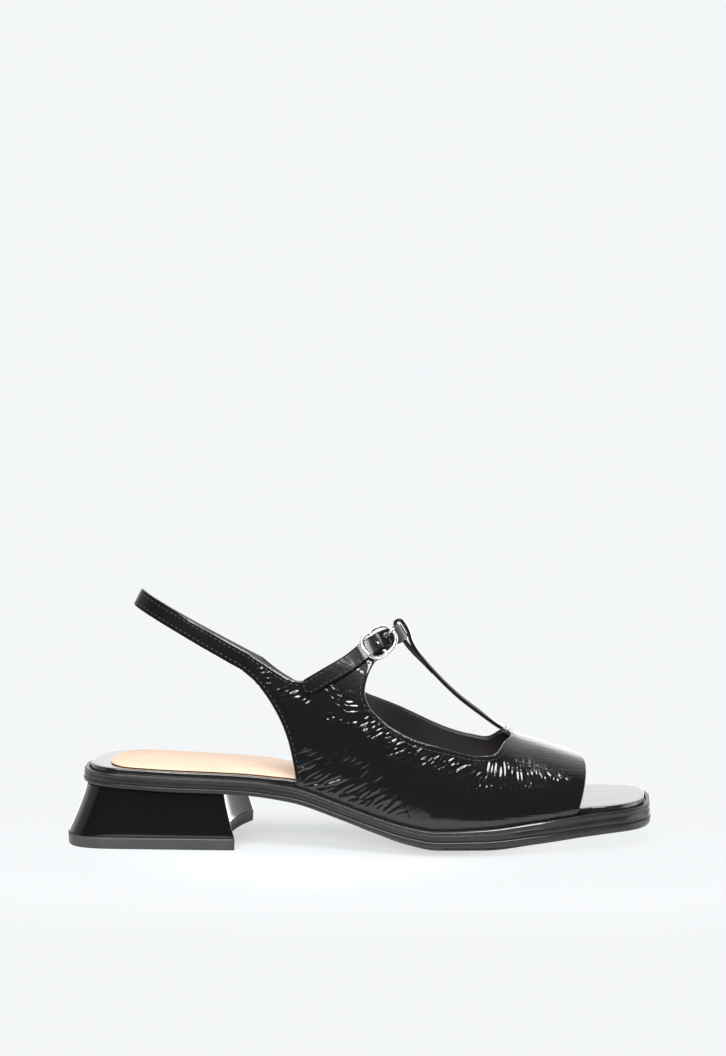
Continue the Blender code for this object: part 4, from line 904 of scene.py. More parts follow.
def half_pattern(side):
    """Cut lines of one half of the flat pattern, from the toe edge at the ridge to the end of the T-bar."""
    cut = CUT_LINES[side]
    share = np.linspace(0, 1, TOE_POINTS)
    toe_station = TOE_EDGE_FEATHER + TOE_EDGE_AHEAD * (1 - share**TOE_EDGE_CURVE)
    toe_girth = share * girth_to(toe_station, np.zeros(TOE_POINTS), side)
    lines = {"toe": np.column_stack([toe_station, toe_girth])}
    sole_station = np.linspace(TOE_EDGE_FEATHER, QUARTER_BACK, FEATHER_POINTS)
    sole_girth = girth_to(sole_station, np.zeros(FEATHER_POINTS), side)
    lines["feather"] = np.column_stack([sole_station, sole_girth])[1:]
    foot = (QUARTER_BACK, last_point(QUARTER_BACK, 0.0, side)[1])
    back = through((foot, *cut.quarter_back), BORDER_STEP)[1:]
    lines["quarter_back"] = np.column_stack([back[:, 0], girth_at_height(back[:, 0], back[:, 1], side)])
    low, high = root_ends[side]
    sling_end = sling_way(side) * sling_runs[side][-1]
    lines["sling_low"] = straight(low, low + sling_end, BORDER_STEP)
    lines["sling_end"] = straight(low + sling_end, high + sling_end, BORDER_STEP)
    lines["sling_high"] = straight(high + sling_end, high, BORDER_STEP)
    root_top = sling_root(side, 1.0)
    top = through((root_top, *cut.topline, cut.tab_front[0]), BORDER_STEP)[1:]
    lines["topline"] = np.column_stack([top[:, 0], girth_at_height(top[:, 0], top[:, 1], side)])
    side_line = through((*cut.tab_front, *cut.window), WINDOW_STEP)
    window = [(s, girth_at_height(s, z, side)[0]) for s, z in side_line]
    window += [(s, girth_at_breadth(s, out, side)) for s, out in (*WINDOW_CORNER, (TBAR_ROOT, TBAR_HALF))]
    lines["window"] = through(window, BORDER_STEP)[1:]
    tbar_start = lines["window"][-1]
    tbar_end = tbar_start - (tbar_run[-1], 0.0)
    lines["tbar"] = straight(tbar_start, tbar_end, BORDER_STEP)
    return lines


cut_lines = {side: half_pattern(side) for side in (LATERAL, MEDIAL)}
lateral_half, medial_half = (np.concatenate(list(cut_lines[side].values())) for side in (LATERAL, MEDIAL))
tbar_tail = straight(lateral_half[-1], medial_half[-1], BORDER_STEP)[:-1]
border = np.concatenate([lateral_half, tbar_tail, medial_half[:0:-1]])
kept_points = []
for depth in BORDER_ROWS:
    for point in inset_plan(border, depth):
        if np.linalg.norm(border - point, axis=1).min() > CLEAR_SHARE * depth:
            kept_points.append(point)
near_border = np.concatenate([border, kept_points])
low, high = border.min(axis=0), border.max(axis=0)


def off_segments(points, starts, ends):
    """Least distance of each point from any of the segments."""
    least = np.full(len(points), np.inf)
    for first, last in zip(starts, ends):
        span = last - first
        share = np.clip((points - first) @ span / (span @ span), 0, 1)
        least = np.minimum(least, np.linalg.norm(points - first - share[:, None] * span, axis=1))
    return least


def creased(points):
    """How much points of the flat pattern lie in the rows of creases on their side, from 0 to 1."""
    amount = np.zeros(len(points))
    for row in CREASE_ROWS:
        ends = [np.array([s, girth_at_height(s, z, row.side)[0]]) for s, z in (row.start, row.end)]
        reach = row.stray + row.lengths[1] / 2
        off = off_segments(points, ends[:1], ends[1:])
        amount = np.maximum(amount, 1 - smoothstep(CREASE_FADE * reach, reach, off))
    return amount


for side, step in ((LATERAL, CLOTH_STEP), (MEDIAL, CLOTH_STEP), *CREASED_STEPS.items()):
    reach = high[1] if side == MEDIAL else -low[1]
    rows = np.arange(CLOTH_FIRST_ROW * step, reach, step * CLOTH_ROW_PITCH) * side
    stations = np.arange(low[0], high[0], step)
    cloth = np.array([(s + step * 0.5 * (k % 2), g) for k, g in enumerate(rows) for s in stations])
    in_creases = creased(cloth) > 0
    cloth = cloth[in_creases if step < CLOTH_STEP else ~in_creases]
    for start in range(0, len(cloth), CLOTH_BATCH):
        part = cloth[start : start + CLOTH_BATCH]
        nearest = np.linalg.norm(near_border[None] - part[:, None], axis=2).min(axis=1)
        kept_points += list(part[nearest > CLOTH_MARGIN * step])
flat_points = [Vector(p) for p in np.concatenate([border, kept_points])]
border_edges = [(i, (i + 1) % len(border)) for i in range(len(border))]
flat, _, faces, *_ = delaunay_2d_cdt(flat_points, border_edges, [], INSIDE_ONLY, SAME_POINT)
used = sorted({i for face in faces for i in face})
renumbered = {old: new for new, old in enumerate(used)}
upper_mesh = bpy.data.meshes.new("patent_upper")
upper_mesh.from_pydata([(*flat[i], 0.0) for i in used], [], [[renumbered[i] for i in face] for face in faces])
upper = bpy.data.objects.new("patent_upper", upper_mesh)
scene.collection.objects.link(upper)


def select_only(*pieces):
    """Selects the pieces and nothing else, and makes the last of them active."""
    bpy.ops.object.select_all(action="DESELECT")
    for piece in pieces:
        piece.select_set(True)
        bpy.context.view_layer.objects.active = piece


def coordinates(mesh, name="co"):
    """Places of a mesh's vertices, or their normals, as rows."""
    values = np.empty(len(mesh.vertices) * 3)
    mesh.vertices.foreach_get(name, values)
    return values.reshape(-1, 3)


def lay_hide(mesh, hide_map, places):
    """Gives each corner of a mesh its vertex's place on the flat hide, in metres."""
    corner_verts = np.empty(len(mesh.loops), int)
    mesh.loops.foreach_get("vertex_index", corner_verts)
    hide_map.data.foreach_set("uv", (places / 1000)[corner_verts].ravel())


def turned_edge(inside, radius):
    """How far a turned edge falls away at distances inside it."""
    bend = np.clip(1 - inside / radius, 0, 1)
    return radius * (1 - np.sqrt(1 - bend**2))


select_only(upper)
edit_whole(bpy.ops.mesh.subdivide, number_cuts=1)
cut_points = coordinates(upper_mesh)[:, :2]
last_stations = np.linspace(LAST_ROWS[0].station, LAST_ROWS[-1].station, FEATHER_SAMPLES)
feather_girths = {}
for side in (LATERAL, MEDIAL):
    girths = np.abs(girth_to(last_stations, np.zeros(FEATHER_SAMPLES), side))
    feather_girths[side] = np.interp(cut_points[:, 0], last_stations, girths)
to_feather = np.where(cut_points[:, 1] < 0, feather_girths[LATERAL], feather_girths[MEDIAL])
hide_places = np.column_stack([cut_points[:, 0], to_feather - np.abs(cut_points[:, 1])])
lay_hide(upper_mesh, upper_mesh.uv_layers.new(name="hide"), hide_places)
crease_map = upper_mesh.attributes.new("creased", "FLOAT", "POINT")
crease_map.data.foreach_set("value", creased(cut_points))
lasted = on_pattern(cut_points)
upper_mesh.vertices.foreach_set("co", to_frame(lasted).ravel())
upper_mesh.update()

# Distance from the nearest turned edge. The end of each half of the sling is no edge: it meets the other.
LOWER_EDGE = ("toe", "feather", "quarter_back", "sling_low")
UPPER_EDGE = ("sling_high", "topline", "window", "tbar")
edge_starts, edge_ends = [], []
for side in (LATERAL, MEDIAL):
    lines = cut_lines[side]
    for names in (LOWER_EDGE, UPPER_EDGE):
        chain = np.concatenate([lines[name] for name in names])
        if names == UPPER_EDGE:
            chain = np.concatenate([lines["sling_end"][-1:], chain])
        edge_starts.append(chain[:-1])
        edge_ends.append(chain[1:])
tail_line = np.concatenate([lateral_half[-1:], tbar_tail, medial_half[-1:]])
edge_starts = np.concatenate([*edge_starts, tail_line[:-1]])
edge_ends = np.concatenate([*edge_ends, tail_line[1:]])
edge_finder = KDTree(len(edge_starts))
for i, middle in enumerate((edge_starts + edge_ends) / 2):
    edge_finder.insert((*middle, 0.0), i)
edge_finder.balance()
nearest = np.array([[found[1] for found in edge_finder.find_n((*p, 0.0), NEAR_EDGES)] for p in cut_points])
from_edge = np.full(len(cut_points), np.inf)
for k in range(nearest.shape[1]):
    first, span = edge_starts[nearest[:, k]], (edge_ends - edge_starts)[nearest[:, k]]
    share = np.clip(((cut_points - first) * span).sum(axis=1) / (span**2).sum(axis=1), 0, 1)
    from_edge = np.minimum(from_edge, np.linalg.norm(cut_points - first - span * share[:, None], axis=1))
edge_drop = turned_edge(from_edge, EDGE_RADIUS)

wander = np.random.default_rng(7)
relief = np.zeros(len(cut_points))
for row in CREASE_ROWS:
    line = np.array(row.end) - row.start
    sideways = np.array([-line[1], line[0]]) / np.linalg.norm(line)
    for k in range(row.count):
        share = (k + wander.uniform(-CREASE_WANDER, CREASE_WANDER)) / (row.count - 1)
        station, height = row.start + line * share + sideways * wander.uniform(-row.stray, row.stray)
        turn = row.angles[0] + (row.angles[1] - row.angles[0]) * share
        angle = math.radians(turn + wander.uniform(-CREASE_TURN, CREASE_TURN))
        length = wander.uniform(*row.lengths)
        bow = wander.uniform(-CREASE_BOW, CREASE_BOW)
        offset = lasted[:, (0, 2)] - (station, height)
        along = offset @ (math.cos(angle), math.sin(angle))
        aside = offset @ (-math.sin(angle), math.cos(angle)) + bow * along**2 / length
        taper = np.cos(np.pi * np.clip(along / length, -0.5, 0.5)) ** 2 * (cut_points[:, 1] * row.side > 0)
        crest = np.exp(-((aside / row.half_width) ** 2))
        troughs = np.exp(-(((np.abs(aside) - TROUGH_AT * row.half_width) / row.half_width) ** 2))
        relief += row.height * wander.uniform(*CREASE_HEIGHTS) * taper * (crest - TROUGH_DEPTH * troughs)
relief *= smoothstep(*CREASED_FROM_EDGE, from_edge)

normals = coordinates(upper_mesh, "normal")
moved = coordinates(upper_mesh) - normals * (edge_drop / 1000)[:, None]
upper_mesh.vertices.foreach_set("co", moved.ravel())
relief_map = upper_mesh.attributes.new("relief", "FLOAT", "POINT")
relief_map.data.foreach_set("value", relief)
on_tail = (np.abs(cut_points[:, 1]) < TBAR_REACH) & (TBAR_ROOT - cut_points[:, 0] > tail_start)
wall_here = np.where(on_tail, TAIL_WALL * tail_left(lasted[:, 0]), WALL)
wall_left = upper.vertex_groups.new(name="wall_left")
for i, drop in enumerate(edge_drop):
    wall_left.add([i], max(LEAST_WALL, (wall_here[i] - 2 * drop) / WALL), "REPLACE")
edit_whole(bpy.ops.mesh.remove_doubles, threshold=MERGED)

crinkled_patent, shader = new_finish("crinkled_patent", (0.006, 0.006, 0.0065), 0.22, 1.0, 0.03, specular=0.1)
tree = crinkled_patent.node_tree
hide = add_node(tree, "ShaderNodeUVMap", uv_map="hide").outputs[0]
slanting = noise_on(tree, hide, 1000.0, 2.0, (1 / 8.0, 1 / 1.9, 1.0), math.radians(38), 0.4)
steep = noise_on(tree, hide, 1000.0, 2.0, (1 / 7.0, 1 / 1.9, 1.0), math.radians(96), 0.4)
station = add_node(tree, "ShaderNodeSeparateXYZ")
tree.links.new(hide, station.inputs[0])
crinkle = add_node(tree, "ShaderNodeMix", data_type="FLOAT")
tree.links.new(ranged(tree, station.outputs[0], 0.160, 0.195, 0.0, 1.0), crinkle.inputs["Factor"])
tree.links.new(slanting, crinkle.inputs["A"])
tree.links.new(steep, crinkle.inputs["B"])
grain = noise_on(tree, hide, 1500.0, 3.0)
swell = noise_on(tree, hide, 90.0, 2.0)
streaks = noise_on(tree, hide, 1000.0, 2.0, (1 / 18.0, 1 / 1.5, 1.0), math.radians(-8))
on_vamp = add_node(tree, "ShaderNodeMath", operation="MULTIPLY")
tree.links.new(streaks, on_vamp.inputs[0])
tree.links.new(ranged(tree, station.outputs[0], 0.178, 0.196, 0.0, 1.0), on_vamp.inputs[1])
where_creased = add_node(tree, "ShaderNodeAttribute", attribute_name="creased")
masked = add_node(tree, "ShaderNodeMath", operation="MULTIPLY")
tree.links.new(crinkle.outputs["Result"], masked.inputs[0])
tree.links.new(ranged(tree, where_creased.outputs["Fac"], 0.0, 1.0, 0.2, 1.0), masked.inputs[1])
relief_swell = add_bump(tree, shader, swell, 0.00018)
relief_streaks = add_bump(tree, shader, on_vamp.outputs[0], 0.00016, under=relief_swell)
relief_crinkle = add_bump(tree, shader, masked.outputs[0], 0.00011, under=relief_streaks)
add_bump(tree, shader, grain, 0.00002, under=relief_crinkle)
tree.links.new(relief_crinkle.outputs[0], shader.inputs["Coat Normal"])

dark_lining, shader = new_finish("dark_lining", (0.022, 0.019, 0.017), 0.5)
tree = dark_lining.node_tree
place = add_node(tree, "ShaderNodeTexCoord").outputs["Object"]
pores = noise_on(tree, place, 1600.0, 3.0)
tint_between(tree, shader, noise_on(tree, place, 60.0, 3.0), (0.016, 0.015, 0.014), (0.030, 0.025, 0.022))
tree.links.new(ranged(tree, pores, 0.3, 0.7, 0.42, 0.6), shader.inputs["Roughness"])
add_bump(tree, shader, pores, 0.00008)

edge_paint, shader = new_finish("edge_paint", (0.02, 0.02, 0.02), 0.3)
tree = edge_paint.node_tree
place = add_node(tree, "ShaderNodeTexCoord").outputs["Object"]
fibres = noise_on(tree, place, 2000.0, 2.0)
tint_between(tree, shader, fibres, (0.014, 0.014, 0.014), (0.035, 0.034, 0.033))
add_bump(tree, shader, fibres, 0.00006)

for material in (crinkled_patent, dark_lining, edge_paint):
    upper_mesh.materials.append(material)
wall = upper.modifiers.new("wall", "SOLIDIFY")
wall.thickness = WALL / 1000
wall.offset = -1.0
wall.vertex_group = "wall_left"
wall.material_offset, wall.material_offset_rim = 1, 2
outer_count = len(upper_mesh.vertices)
bpy.ops.object.modifier_apply(modifier="wall")
relief = np.empty(len(upper_mesh.vertices))
upper_mesh.attributes["relief"].data.foreach_get("value", relief)
relief[outer_count:] = 0.0
upper_mesh.update()
creased_places = coordinates(upper_mesh) + coordinates(upper_mesh, "normal") * (relief / 1000)[:, None]
upper_mesh.vertices.foreach_set("co", creased_places.ravel())
upper_mesh.attributes.remove(upper_mesh.attributes["relief"])
bpy.ops.object.shade_smooth()
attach(upper, "root")
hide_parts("upper")

# Upper stitches: short stitches of dark thread, half sunk in the patent. They are sewn in a row beside the
# turned edges of the quarters, windows and sling, and hold the lining there.
STITCH_INSET, STITCH_PITCH, STITCH_LENGTH, STITCH_RADIUS = 1.9, 2.4, 1.7, 0.17
STITCH_PROBE, STITCH_PROUD = 0.4, 0.02
bpy.ops.object.select_all(action="DESELECT")
bpy.ops.mesh.primitive_uv_sphere_add(segments=6, ring_count=5, radius=1.0)
one_stitch = bpy.context.object
stitch_shape = coordinates(one_stitch.data)
stitch_faces = [tuple(face.vertices) for face in one_stitch.data.polygons]
bpy.data.objects.remove(one_stitch)


def sew(name, lines, surface):
    """One mesh of stitches along lines of a flat pattern, standing on the surface that the pattern makes."""
    verts, faces = [], []
    for line in lines:
        run = run_along(line)
        for middle in np.arange(STITCH_PITCH / 2, run[-1], STITCH_PITCH):
            ends = [np.array([np.interp(middle + k * STITCH_LENGTH / 2, run, line[:, a]) for a in (0, 1)])
                    for k in (-1, 1)]
            centre = (ends[0] + ends[1]) / 2
            way = (ends[1] - ends[0]) / np.linalg.norm(ends[1] - ends[0])
            aside = np.array([-way[1], way[0]])
            probe = surface(np.array([centre, centre + STITCH_PROBE * way, centre + STITCH_PROBE * aside]))
            along = (probe[1] - probe[0]) / np.linalg.norm(probe[1] - probe[0])
            up = np.cross(along, probe[2] - probe[0])
            up /= np.linalg.norm(up)
            across = np.cross(up, along)
            shape = (stitch_shape[:, 2:] * along * STITCH_LENGTH / 2
                     + stitch_shape[:, :1] * across * STITCH_RADIUS
                     + stitch_shape[:, 1:2] * up * STITCH_RADIUS)
            faces += [tuple(i + len(verts) * len(stitch_shape) for i in face) for face in stitch_faces]
            verts.append(probe[0] + up * STITCH_PROUD + shape)
    mesh = bpy.data.meshes.new(name)
    mesh.from_pydata(to_frame(np.concatenate(verts)).tolist(), [], faces)
    mesh.shade_smooth()
    piece = bpy.data.objects.new(name, mesh)
    scene.collection.objects.link(piece)
    return piece


inner_border = inset_plan(border, STITCH_INSET)
stitched = []
for side in (LATERAL, MEDIAL):
    lines = cut_lines[side]
    for names in (("quarter_back", "sling_low"), ("sling_high", "topline", "window")):
        line = np.concatenate([lines[name] for name in names])
        place = [int(np.argmin(np.linalg.norm(border - p, axis=1))) for p in line]
        inner = inner_border[place]
        clear = off_segments(inner, edge_starts, edge_ends) > CLEAR_SHARE * STITCH_INSET
        stitched.append(inner[clear])
upper_stitches = sew("upper_stitches", stitched, on_pattern)
thread, shader = new_finish("dark_thread", (0.06, 0.06, 0.058), 0.45)
tree = thread.node_tree
place = add_node(tree, "ShaderNodeTexCoord").outputs["Object"]
twist = noise_on(tree, place, 3500.0, 2.0)
tint_between(tree, shader, twist, (0.018, 0.018, 0.018), (0.045, 0.045, 0.043))
add_bump(tree, shader, twist, 0.00006)
upper_stitches.data.materials.append(thread)
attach(upper_stitches, "root")

# Instep strap: a patent strap sewn to the medial quarter, led through the T-bar's loop and the buckle, its
# punched free end lying rounded along the lateral quarter.
STRAP_SIDE_Y, STRAP_EDGE_RADIUS, FREE_END = 28.0, 0.45, -3.0
STRAP_BENDS = {LATERAL: (27.0, 2.8), MEDIAL: (25.0, 2.2)}
STRAP_ROLL, STRAP_DROOP = 0.10, 0.0018
MEDIAL_DROP, MEDIAL_DROP_SPAN = 4.2, (20.0, 29.0)
BUCKLE_AT, FRAME_SPAN, BUCKLE_TURN = 35.3, (27.5, 41.3), math.radians(9)
BAR_HUMP, BAR_HUMP_REACH, BAR_RADIUS = 0.1, 3.5, 0.7
PRONG_SLOT, PRONG_SLOT_RADIUS = (4.1, 5.4), 1.1
SPARE_HOLE, SPARE_HOLE_RADIUS = (-0.6, -0.5), 0.9
BEND_POINTS, LEG_POINTS, TIP_ANGLES = 46, 36, (5, 12, 20, 30, 42, 54, 66, 78)
PUNCH_REACH, PUNCH_STEP, STRAP_SMOOTH_ANGLE = (-1.5, 5.0), 15, math.radians(55)
STRAP_SHARES = (-1.0, -0.97, -0.92, -0.85, -0.7, -0.45, -0.2, 0.0, 0.2, 0.45, 0.7, 0.85, 0.92, 0.97, 1.0)


def strap_drop(y):
    """How far the strap lies below its middle plane, which leans down to the lower medial quarter."""
    return STRAP_ROLL * y + STRAP_DROOP * y * y + MEDIAL_DROP * smoothstep(*MEDIAL_DROP_SPAN, y)


def on_strap(run, across, side):
    """Inner-face points of the strap at runs from its end and distances across, on one side of the instep."""
    run, across = np.broadcast_arrays(np.asarray(run, float), np.asarray(across, float))
    _, up = strap_directions()
    leg, squareness = STRAP_BENDS[side]
    front = np.maximum(0, run - leg) / (STRAP_REACH - leg)
    narrowing = np.maximum(0, 1 - front**squareness) ** (1 / squareness)
    offset = column(LAST_ROWS, "offset", LOOP_STATION)
    place = strap_side_point(run) + up * across[..., None]
    leg_place = strap_side_point(np.minimum(run, leg)) + up * across[..., None]
    leg_height = leg_place[..., 1] - strap_drop(side * STRAP_SIDE_Y)
    beside, _ = last_point(leg_place[..., 0], angle_at_height(leg_place[..., 0], leg_height), side)
    y = offset + (beside + side * GAP - offset) * narrowing
    if side == LATERAL:
        y = y - BAR_HUMP * np.exp(-(((run - BUCKLE_AT) / BAR_HUMP_REACH) ** 2))
    return np.stack([place[..., 0], y, place[..., 1] - strap_drop(y)], axis=-1)


strap_rows, strap_inside, strap_hide = [], [], []
tip = STRAP_WIDTH / 2
for side in (LATERAL, MEDIAL):
    leg, squareness = STRAP_BENDS[side]
    turn = np.radians(np.linspace(0, 90, BEND_POINTS)[1:])
    front = leg + (STRAP_REACH - leg) * np.sin(turn) ** (2 / squareness)
    tip_runs = tip * (1 - np.cos(np.radians(TIP_ANGLES)))
    start = FREE_END if side == LATERAL else 0.0
    runs = np.concatenate([start + tip_runs, np.linspace(start + tip, leg, LEG_POINTS), front])
    to_round = np.maximum(0, start + tip - runs)
    half = np.sqrt(tip**2 - to_round**2)
    across = half[:, None] * np.array(STRAP_SHARES)
    inside = np.minimum(half[:, None] - np.abs(across), tip - np.hypot(to_round[:, None], across))
    points = on_strap(runs[:, None], across, side)
    hide_run = runs if side == LATERAL else 2 * STRAP_REACH - runs
    hide_run = np.broadcast_to(hide_run[:, None], across.shape)
    order = slice(None) if side == LATERAL else slice(-2, None, -1)
    strap_rows.append(points[order])
    strap_inside.append(inside[order])
    strap_hide.append(np.stack([hide_run, across], axis=-1)[order])
strap_rows, strap_inside, strap_hide = (np.concatenate(v) for v in (strap_rows, strap_inside, strap_hide))
row_count, share_count = strap_inside.shape
bpy.ops.object.select_all(action="DESELECT")
bpy.ops.mesh.primitive_grid_add(x_subdivisions=share_count - 1, y_subdivisions=row_count - 1)
strap = bpy.context.object
strap.name = strap.data.name = "patent_strap"
strap.data.vertices.foreach_set("co", to_frame(strap_rows.reshape(-1, 3)).ravel())
strap.data.uv_layers[0].name = "hide"
lay_hide(strap.data, strap.data.uv_layers[0], strap_hide.reshape(-1, 2))
strap.data.update()
lowest = min(strap.data.polygons, key=lambda face: face.center.y)
if lowest.normal.y > 0:
    strap.data.flip_normals()
edge_drop = turned_edge(strap_inside.ravel(), STRAP_EDGE_RADIUS)
lifted = coordinates(strap.data) + coordinates(strap.data, "normal") * (edge_drop / 1000)[:, None]
strap.data.vertices.foreach_set("co", lifted.ravel())
strap_left = strap.vertex_groups.new(name="strap_left")
for i, drop in enumerate(edge_drop):
    strap_left.add([i], (STRAP_THICK - 2 * drop) / STRAP_THICK, "REPLACE")
thick = strap.modifiers.new("thick", "SOLIDIFY")
thick.thickness = STRAP_THICK / 1000
thick.offset = 1.0
thick.vertex_group = "strap_left"
bpy.ops.object.modifier_apply(modifier="thick")

across_strap = on_strap(np.full(3, BUCKLE_AT), np.array([-1.0, 0.0, 1.0]), LATERAL)
behind_buckle, ahead_of_buckle = on_strap(np.array(FRAME_SPAN), np.zeros(2), LATERAL)
buckle_along = (ahead_of_buckle - behind_buckle) / np.linalg.norm(ahead_of_buckle - behind_buckle)
buckle_across = across_strap[2] - across_strap[0]
buckle_across -= buckle_along * (buckle_across @ buckle_along)
buckle_across /= np.linalg.norm(buckle_across)
buckle_outward = np.cross(buckle_across, buckle_along)
buckle_outward *= -np.sign(buckle_outward[1])
buckle_middle = across_strap[1] - buckle_outward * (GAP + BAR_RADIUS)
straight_along, straight_across = buckle_along, buckle_across
buckle_along = straight_along * math.cos(BUCKLE_TURN) + straight_across * math.sin(BUCKLE_TURN)
buckle_across = straight_across * math.cos(BUCKLE_TURN) - straight_along * math.sin(BUCKLE_TURN)
for name, (start, end), radius in (("prong_slot", PRONG_SLOT, PRONG_SLOT_RADIUS),
                                   ("spare_hole", SPARE_HOLE, SPARE_HOLE_RADIUS)):
    outline = []
    for turn in np.radians(np.arange(0, 360, PUNCH_STEP)):
        reach = end if math.cos(turn) > 0 else start
        lengthwise = buckle_along * (reach + radius * math.cos(turn))
        outline.append(lengthwise + buckle_across * radius * math.sin(turn))
    punch = draw_up(name, [buckle_middle + np.array(outline) + buckle_outward * out for out in PUNCH_REACH])
    select_only(strap)
    cut = strap.modifiers.new("cut", "BOOLEAN")
    cut.operation = "DIFFERENCE"
    cut.object = punch
    bpy.ops.object.modifier_apply(modifier="cut")
    bpy.data.objects.remove(punch)
bpy.ops.object.shade_smooth_by_angle(angle=STRAP_SMOOTH_ANGLE)

strap_patent, shader = new_finish("strap_patent", (0.006, 0.006, 0.0065), 0.2, 0.35, 0.07, specular=0.1)
tree = strap_patent.node_tree
hide = add_node(tree, "ShaderNodeUVMap", uv_map="hide").outputs[0]
crimp = noise_on(tree, hide, 1000.0, 2.0, (1 / 1.8, 1 / 4.0, 1.0), math.radians(20), 0.4)
grain = noise_on(tree, hide, 1500.0, 3.0)
tree.links.new(ranged(tree, grain, 0.3, 0.7, 0.16, 0.26), shader.inputs["Roughness"])
relief_crimp = add_bump(tree, shader, crimp, 0.00003)
add_bump(tree, shader, grain, 0.00003, under=relief_crimp)
tree.links.new(relief_crimp.outputs[0], shader.inputs["Coat Normal"])
strap.data.materials.append(strap_patent)
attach(strap, "root")
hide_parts("instep_strap")

# Strap stitches: the same dark thread, sewn in a row beside each edge of the strap's free part and round
# its end. The row stops short of the buckle.
SEWN_FROM_EDGE, SEWN_CLEAR, SEWN_ROUND_POINTS, FACE_PROBE = 1.4, 30.5, 19, 0.2


def on_strap_face(points):
    """Outer-face points of the strap's lateral half for runs and distances across."""
    inner = on_strap(points[:, 0], points[:, 1], LATERAL)
    ahead = on_strap(points[:, 0] + FACE_PROBE, points[:, 1], LATERAL) - inner
    above = on_strap(points[:, 0], points[:, 1] + FACE_PROBE, LATERAL) - inner
    out = np.cross(above, ahead)
    out *= -np.sign(out[:, 1:2]) / np.linalg.norm(out, axis=1, keepdims=True)
    return inner + out * STRAP_THICK


half = tip - SEWN_FROM_EDGE
round_end = [(FREE_END + tip - half * math.cos(a), half * math.sin(a))
             for a in np.radians(np.linspace(-90, 90, SEWN_ROUND_POINTS))]
sewn_line = np.array([(SEWN_CLEAR, -half), *round_end, (SEWN_CLEAR, half)])
strap_stitches = sew("strap_stitches", [sewn_line], on_strap_face)
strap_stitches.data.materials.append(thread)
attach(strap_stitches, "root")

# Buckle frame: an oval ring of polished steel wire, bowed to the instep, with a straight bar across it. The
# strap runs over the bar and holds the frame in place.
FRAME_LONG, FRAME_WIDE, FRAME_WIRE, FRAME_BOW = 7.6, 5.9, 0.85, 2.6
FRAME_SQUARENESS, FRAME_POINTS, WIRE_SIDES, BAR_POINTS = 2.7, 96, 20, 9
turn = np.linspace(0, 2 * np.pi, FRAME_POINTS, endpoint=False)
lengthwise, crosswise = (np.sign(part) * np.abs(part) ** (2 / FRAME_SQUARENESS)
                         for part in (np.cos(turn), np.sin(turn)))
frame_line = (buckle_middle + FRAME_LONG * lengthwise[:, None] * buckle_along
              + FRAME_WIDE * crosswise[:, None] * buckle_across
              + FRAME_BOW * np.abs(lengthwise)[:, None] ** 2 * buckle_outward)


def wire_rings(line, radii, side_way, closed=False):
    """Rings of a wire round each point of a line, square to the line there."""
    if closed:
        ahead = np.roll(line, -1, axis=0) - np.roll(line, 1, axis=0)
    else:
        ahead = np.gradient(line, axis=0)
    ahead /= np.linalg.norm(ahead, axis=1, keepdims=True)
    out = np.cross(np.broadcast_to(side_way, line.shape), ahead)
    out /= np.linalg.norm(out, axis=1, keepdims=True)
    other = np.cross(ahead, out)
    around = np.linspace(0, 2 * np.pi, WIRE_SIDES, endpoint=False)
    return [point + radius * (np.cos(around)[:, None] * a + np.sin(around)[:, None] * b)
            for point, radius, a, b in zip(line, np.broadcast_to(radii, len(line)), out, other)]


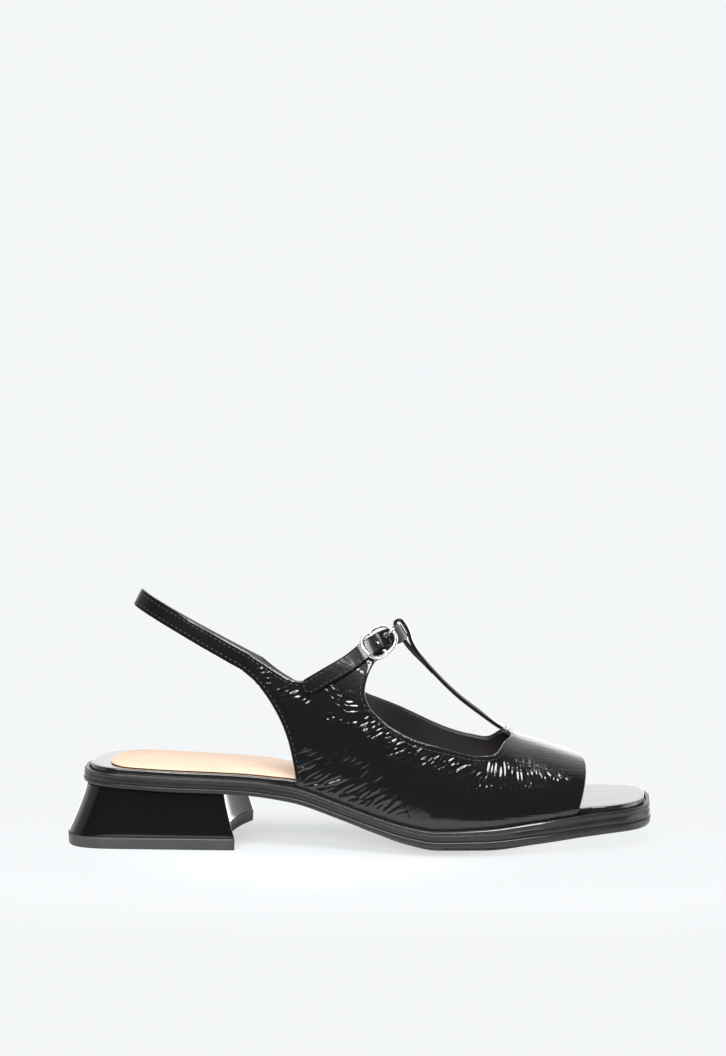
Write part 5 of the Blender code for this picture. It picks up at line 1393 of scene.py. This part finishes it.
bpy.ops.object.select_all(action="DESELECT")
bpy.ops.mesh.primitive_torus_add(major_segments=FRAME_POINTS, minor_segments=WIRE_SIDES)
buckle = bpy.context.object
buckle.name = buckle.data.name = "oval_buckle"
rings = wire_rings(frame_line, FRAME_WIRE, buckle_outward, closed=True)
buckle.data.vertices.foreach_set("co", to_frame(np.concatenate(rings)).ravel())
bar_line = np.array([buckle_middle + buckle_across * FRAME_WIDE * k for k in np.linspace(-1, 1, BAR_POINTS)])
bar = draw_up("bar", wire_rings(bar_line, BAR_RADIUS, buckle_outward))
select_only(bar, buckle)
bpy.ops.object.join()
edit_whole(bpy.ops.mesh.normals_make_consistent, inside=False)
bpy.ops.object.shade_smooth_by_angle(angle=SMOOTH_ANGLE)
polished_steel, shader = new_finish("polished_steel", (0.84, 0.83, 0.81), 0.1, metallic=1.0)
tree = polished_steel.node_tree
place = add_node(tree, "ShaderNodeTexCoord").outputs["Object"]
scratches = noise_on(tree, place, 1400.0, 4.0, (0.15, 1.0, 1.0), 0.6)
tree.links.new(ranged(tree, scratches, 0.35, 0.7, 0.30, 0.40), shader.inputs["Roughness"])
tint_between(tree, shader, noise_on(tree, place, 300.0, 3.0), (0.82, 0.80, 0.76), (0.74, 0.71, 0.67))
add_bump(tree, shader, scratches, 0.000004)
buckle.data.materials.append(polished_steel)
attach(buckle, "root")
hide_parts("buckle_frame")

# Buckle prong: a tapered steel pin, bent to a hook round the frame's bar. It comes up through the strap's
# slot, and its tip rests on the frame.
PRONG_RADIUS, PRONG_TIP_RADIUS, PRONG_TAPER, PRONG_STEP, PRONG_BLUNT = 0.6, 0.45, 5, 0.3, 0.04
HOOK_START, HOOK_END, HOOK_POINTS = -165, -10, 8
hook = BAR_RADIUS + GAP + PRONG_RADIUS
prong_line = [buckle_middle + hook * (buckle_along * math.cos(a) + buckle_outward * math.sin(a))
              for a in np.radians(np.linspace(HOOK_START, HOOK_END, HOOK_POINTS))]
rest = FRAME_BOW + FRAME_WIRE + GAP + PRONG_RADIUS
PRONG_ROUTE = ((3.0, -0.2), (4.2, 0.6), (5.2, 2.0), (6.4, rest - 0.2), (FRAME_LONG + 0.8, rest))
for run, rise in PRONG_ROUTE:
    prong_line.append(buckle_middle + buckle_along * run + buckle_outward * rise)
prong_line = through(prong_line, PRONG_STEP)
to_end = run_along(prong_line[::-1])[::-1]
taper = PRONG_TIP_RADIUS + (PRONG_RADIUS - PRONG_TIP_RADIUS) * smoothstep(0, PRONG_TAPER, to_end)
blunt = np.sqrt(1 - np.clip(1 - (to_end + PRONG_BLUNT) / PRONG_TIP_RADIUS, 0, 1) ** 2)
prong = draw_up("steel_prong", wire_rings(prong_line, taper * blunt, buckle_across))
prong.data.materials.append(polished_steel)
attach(prong, "root")
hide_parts("buckle_prong")
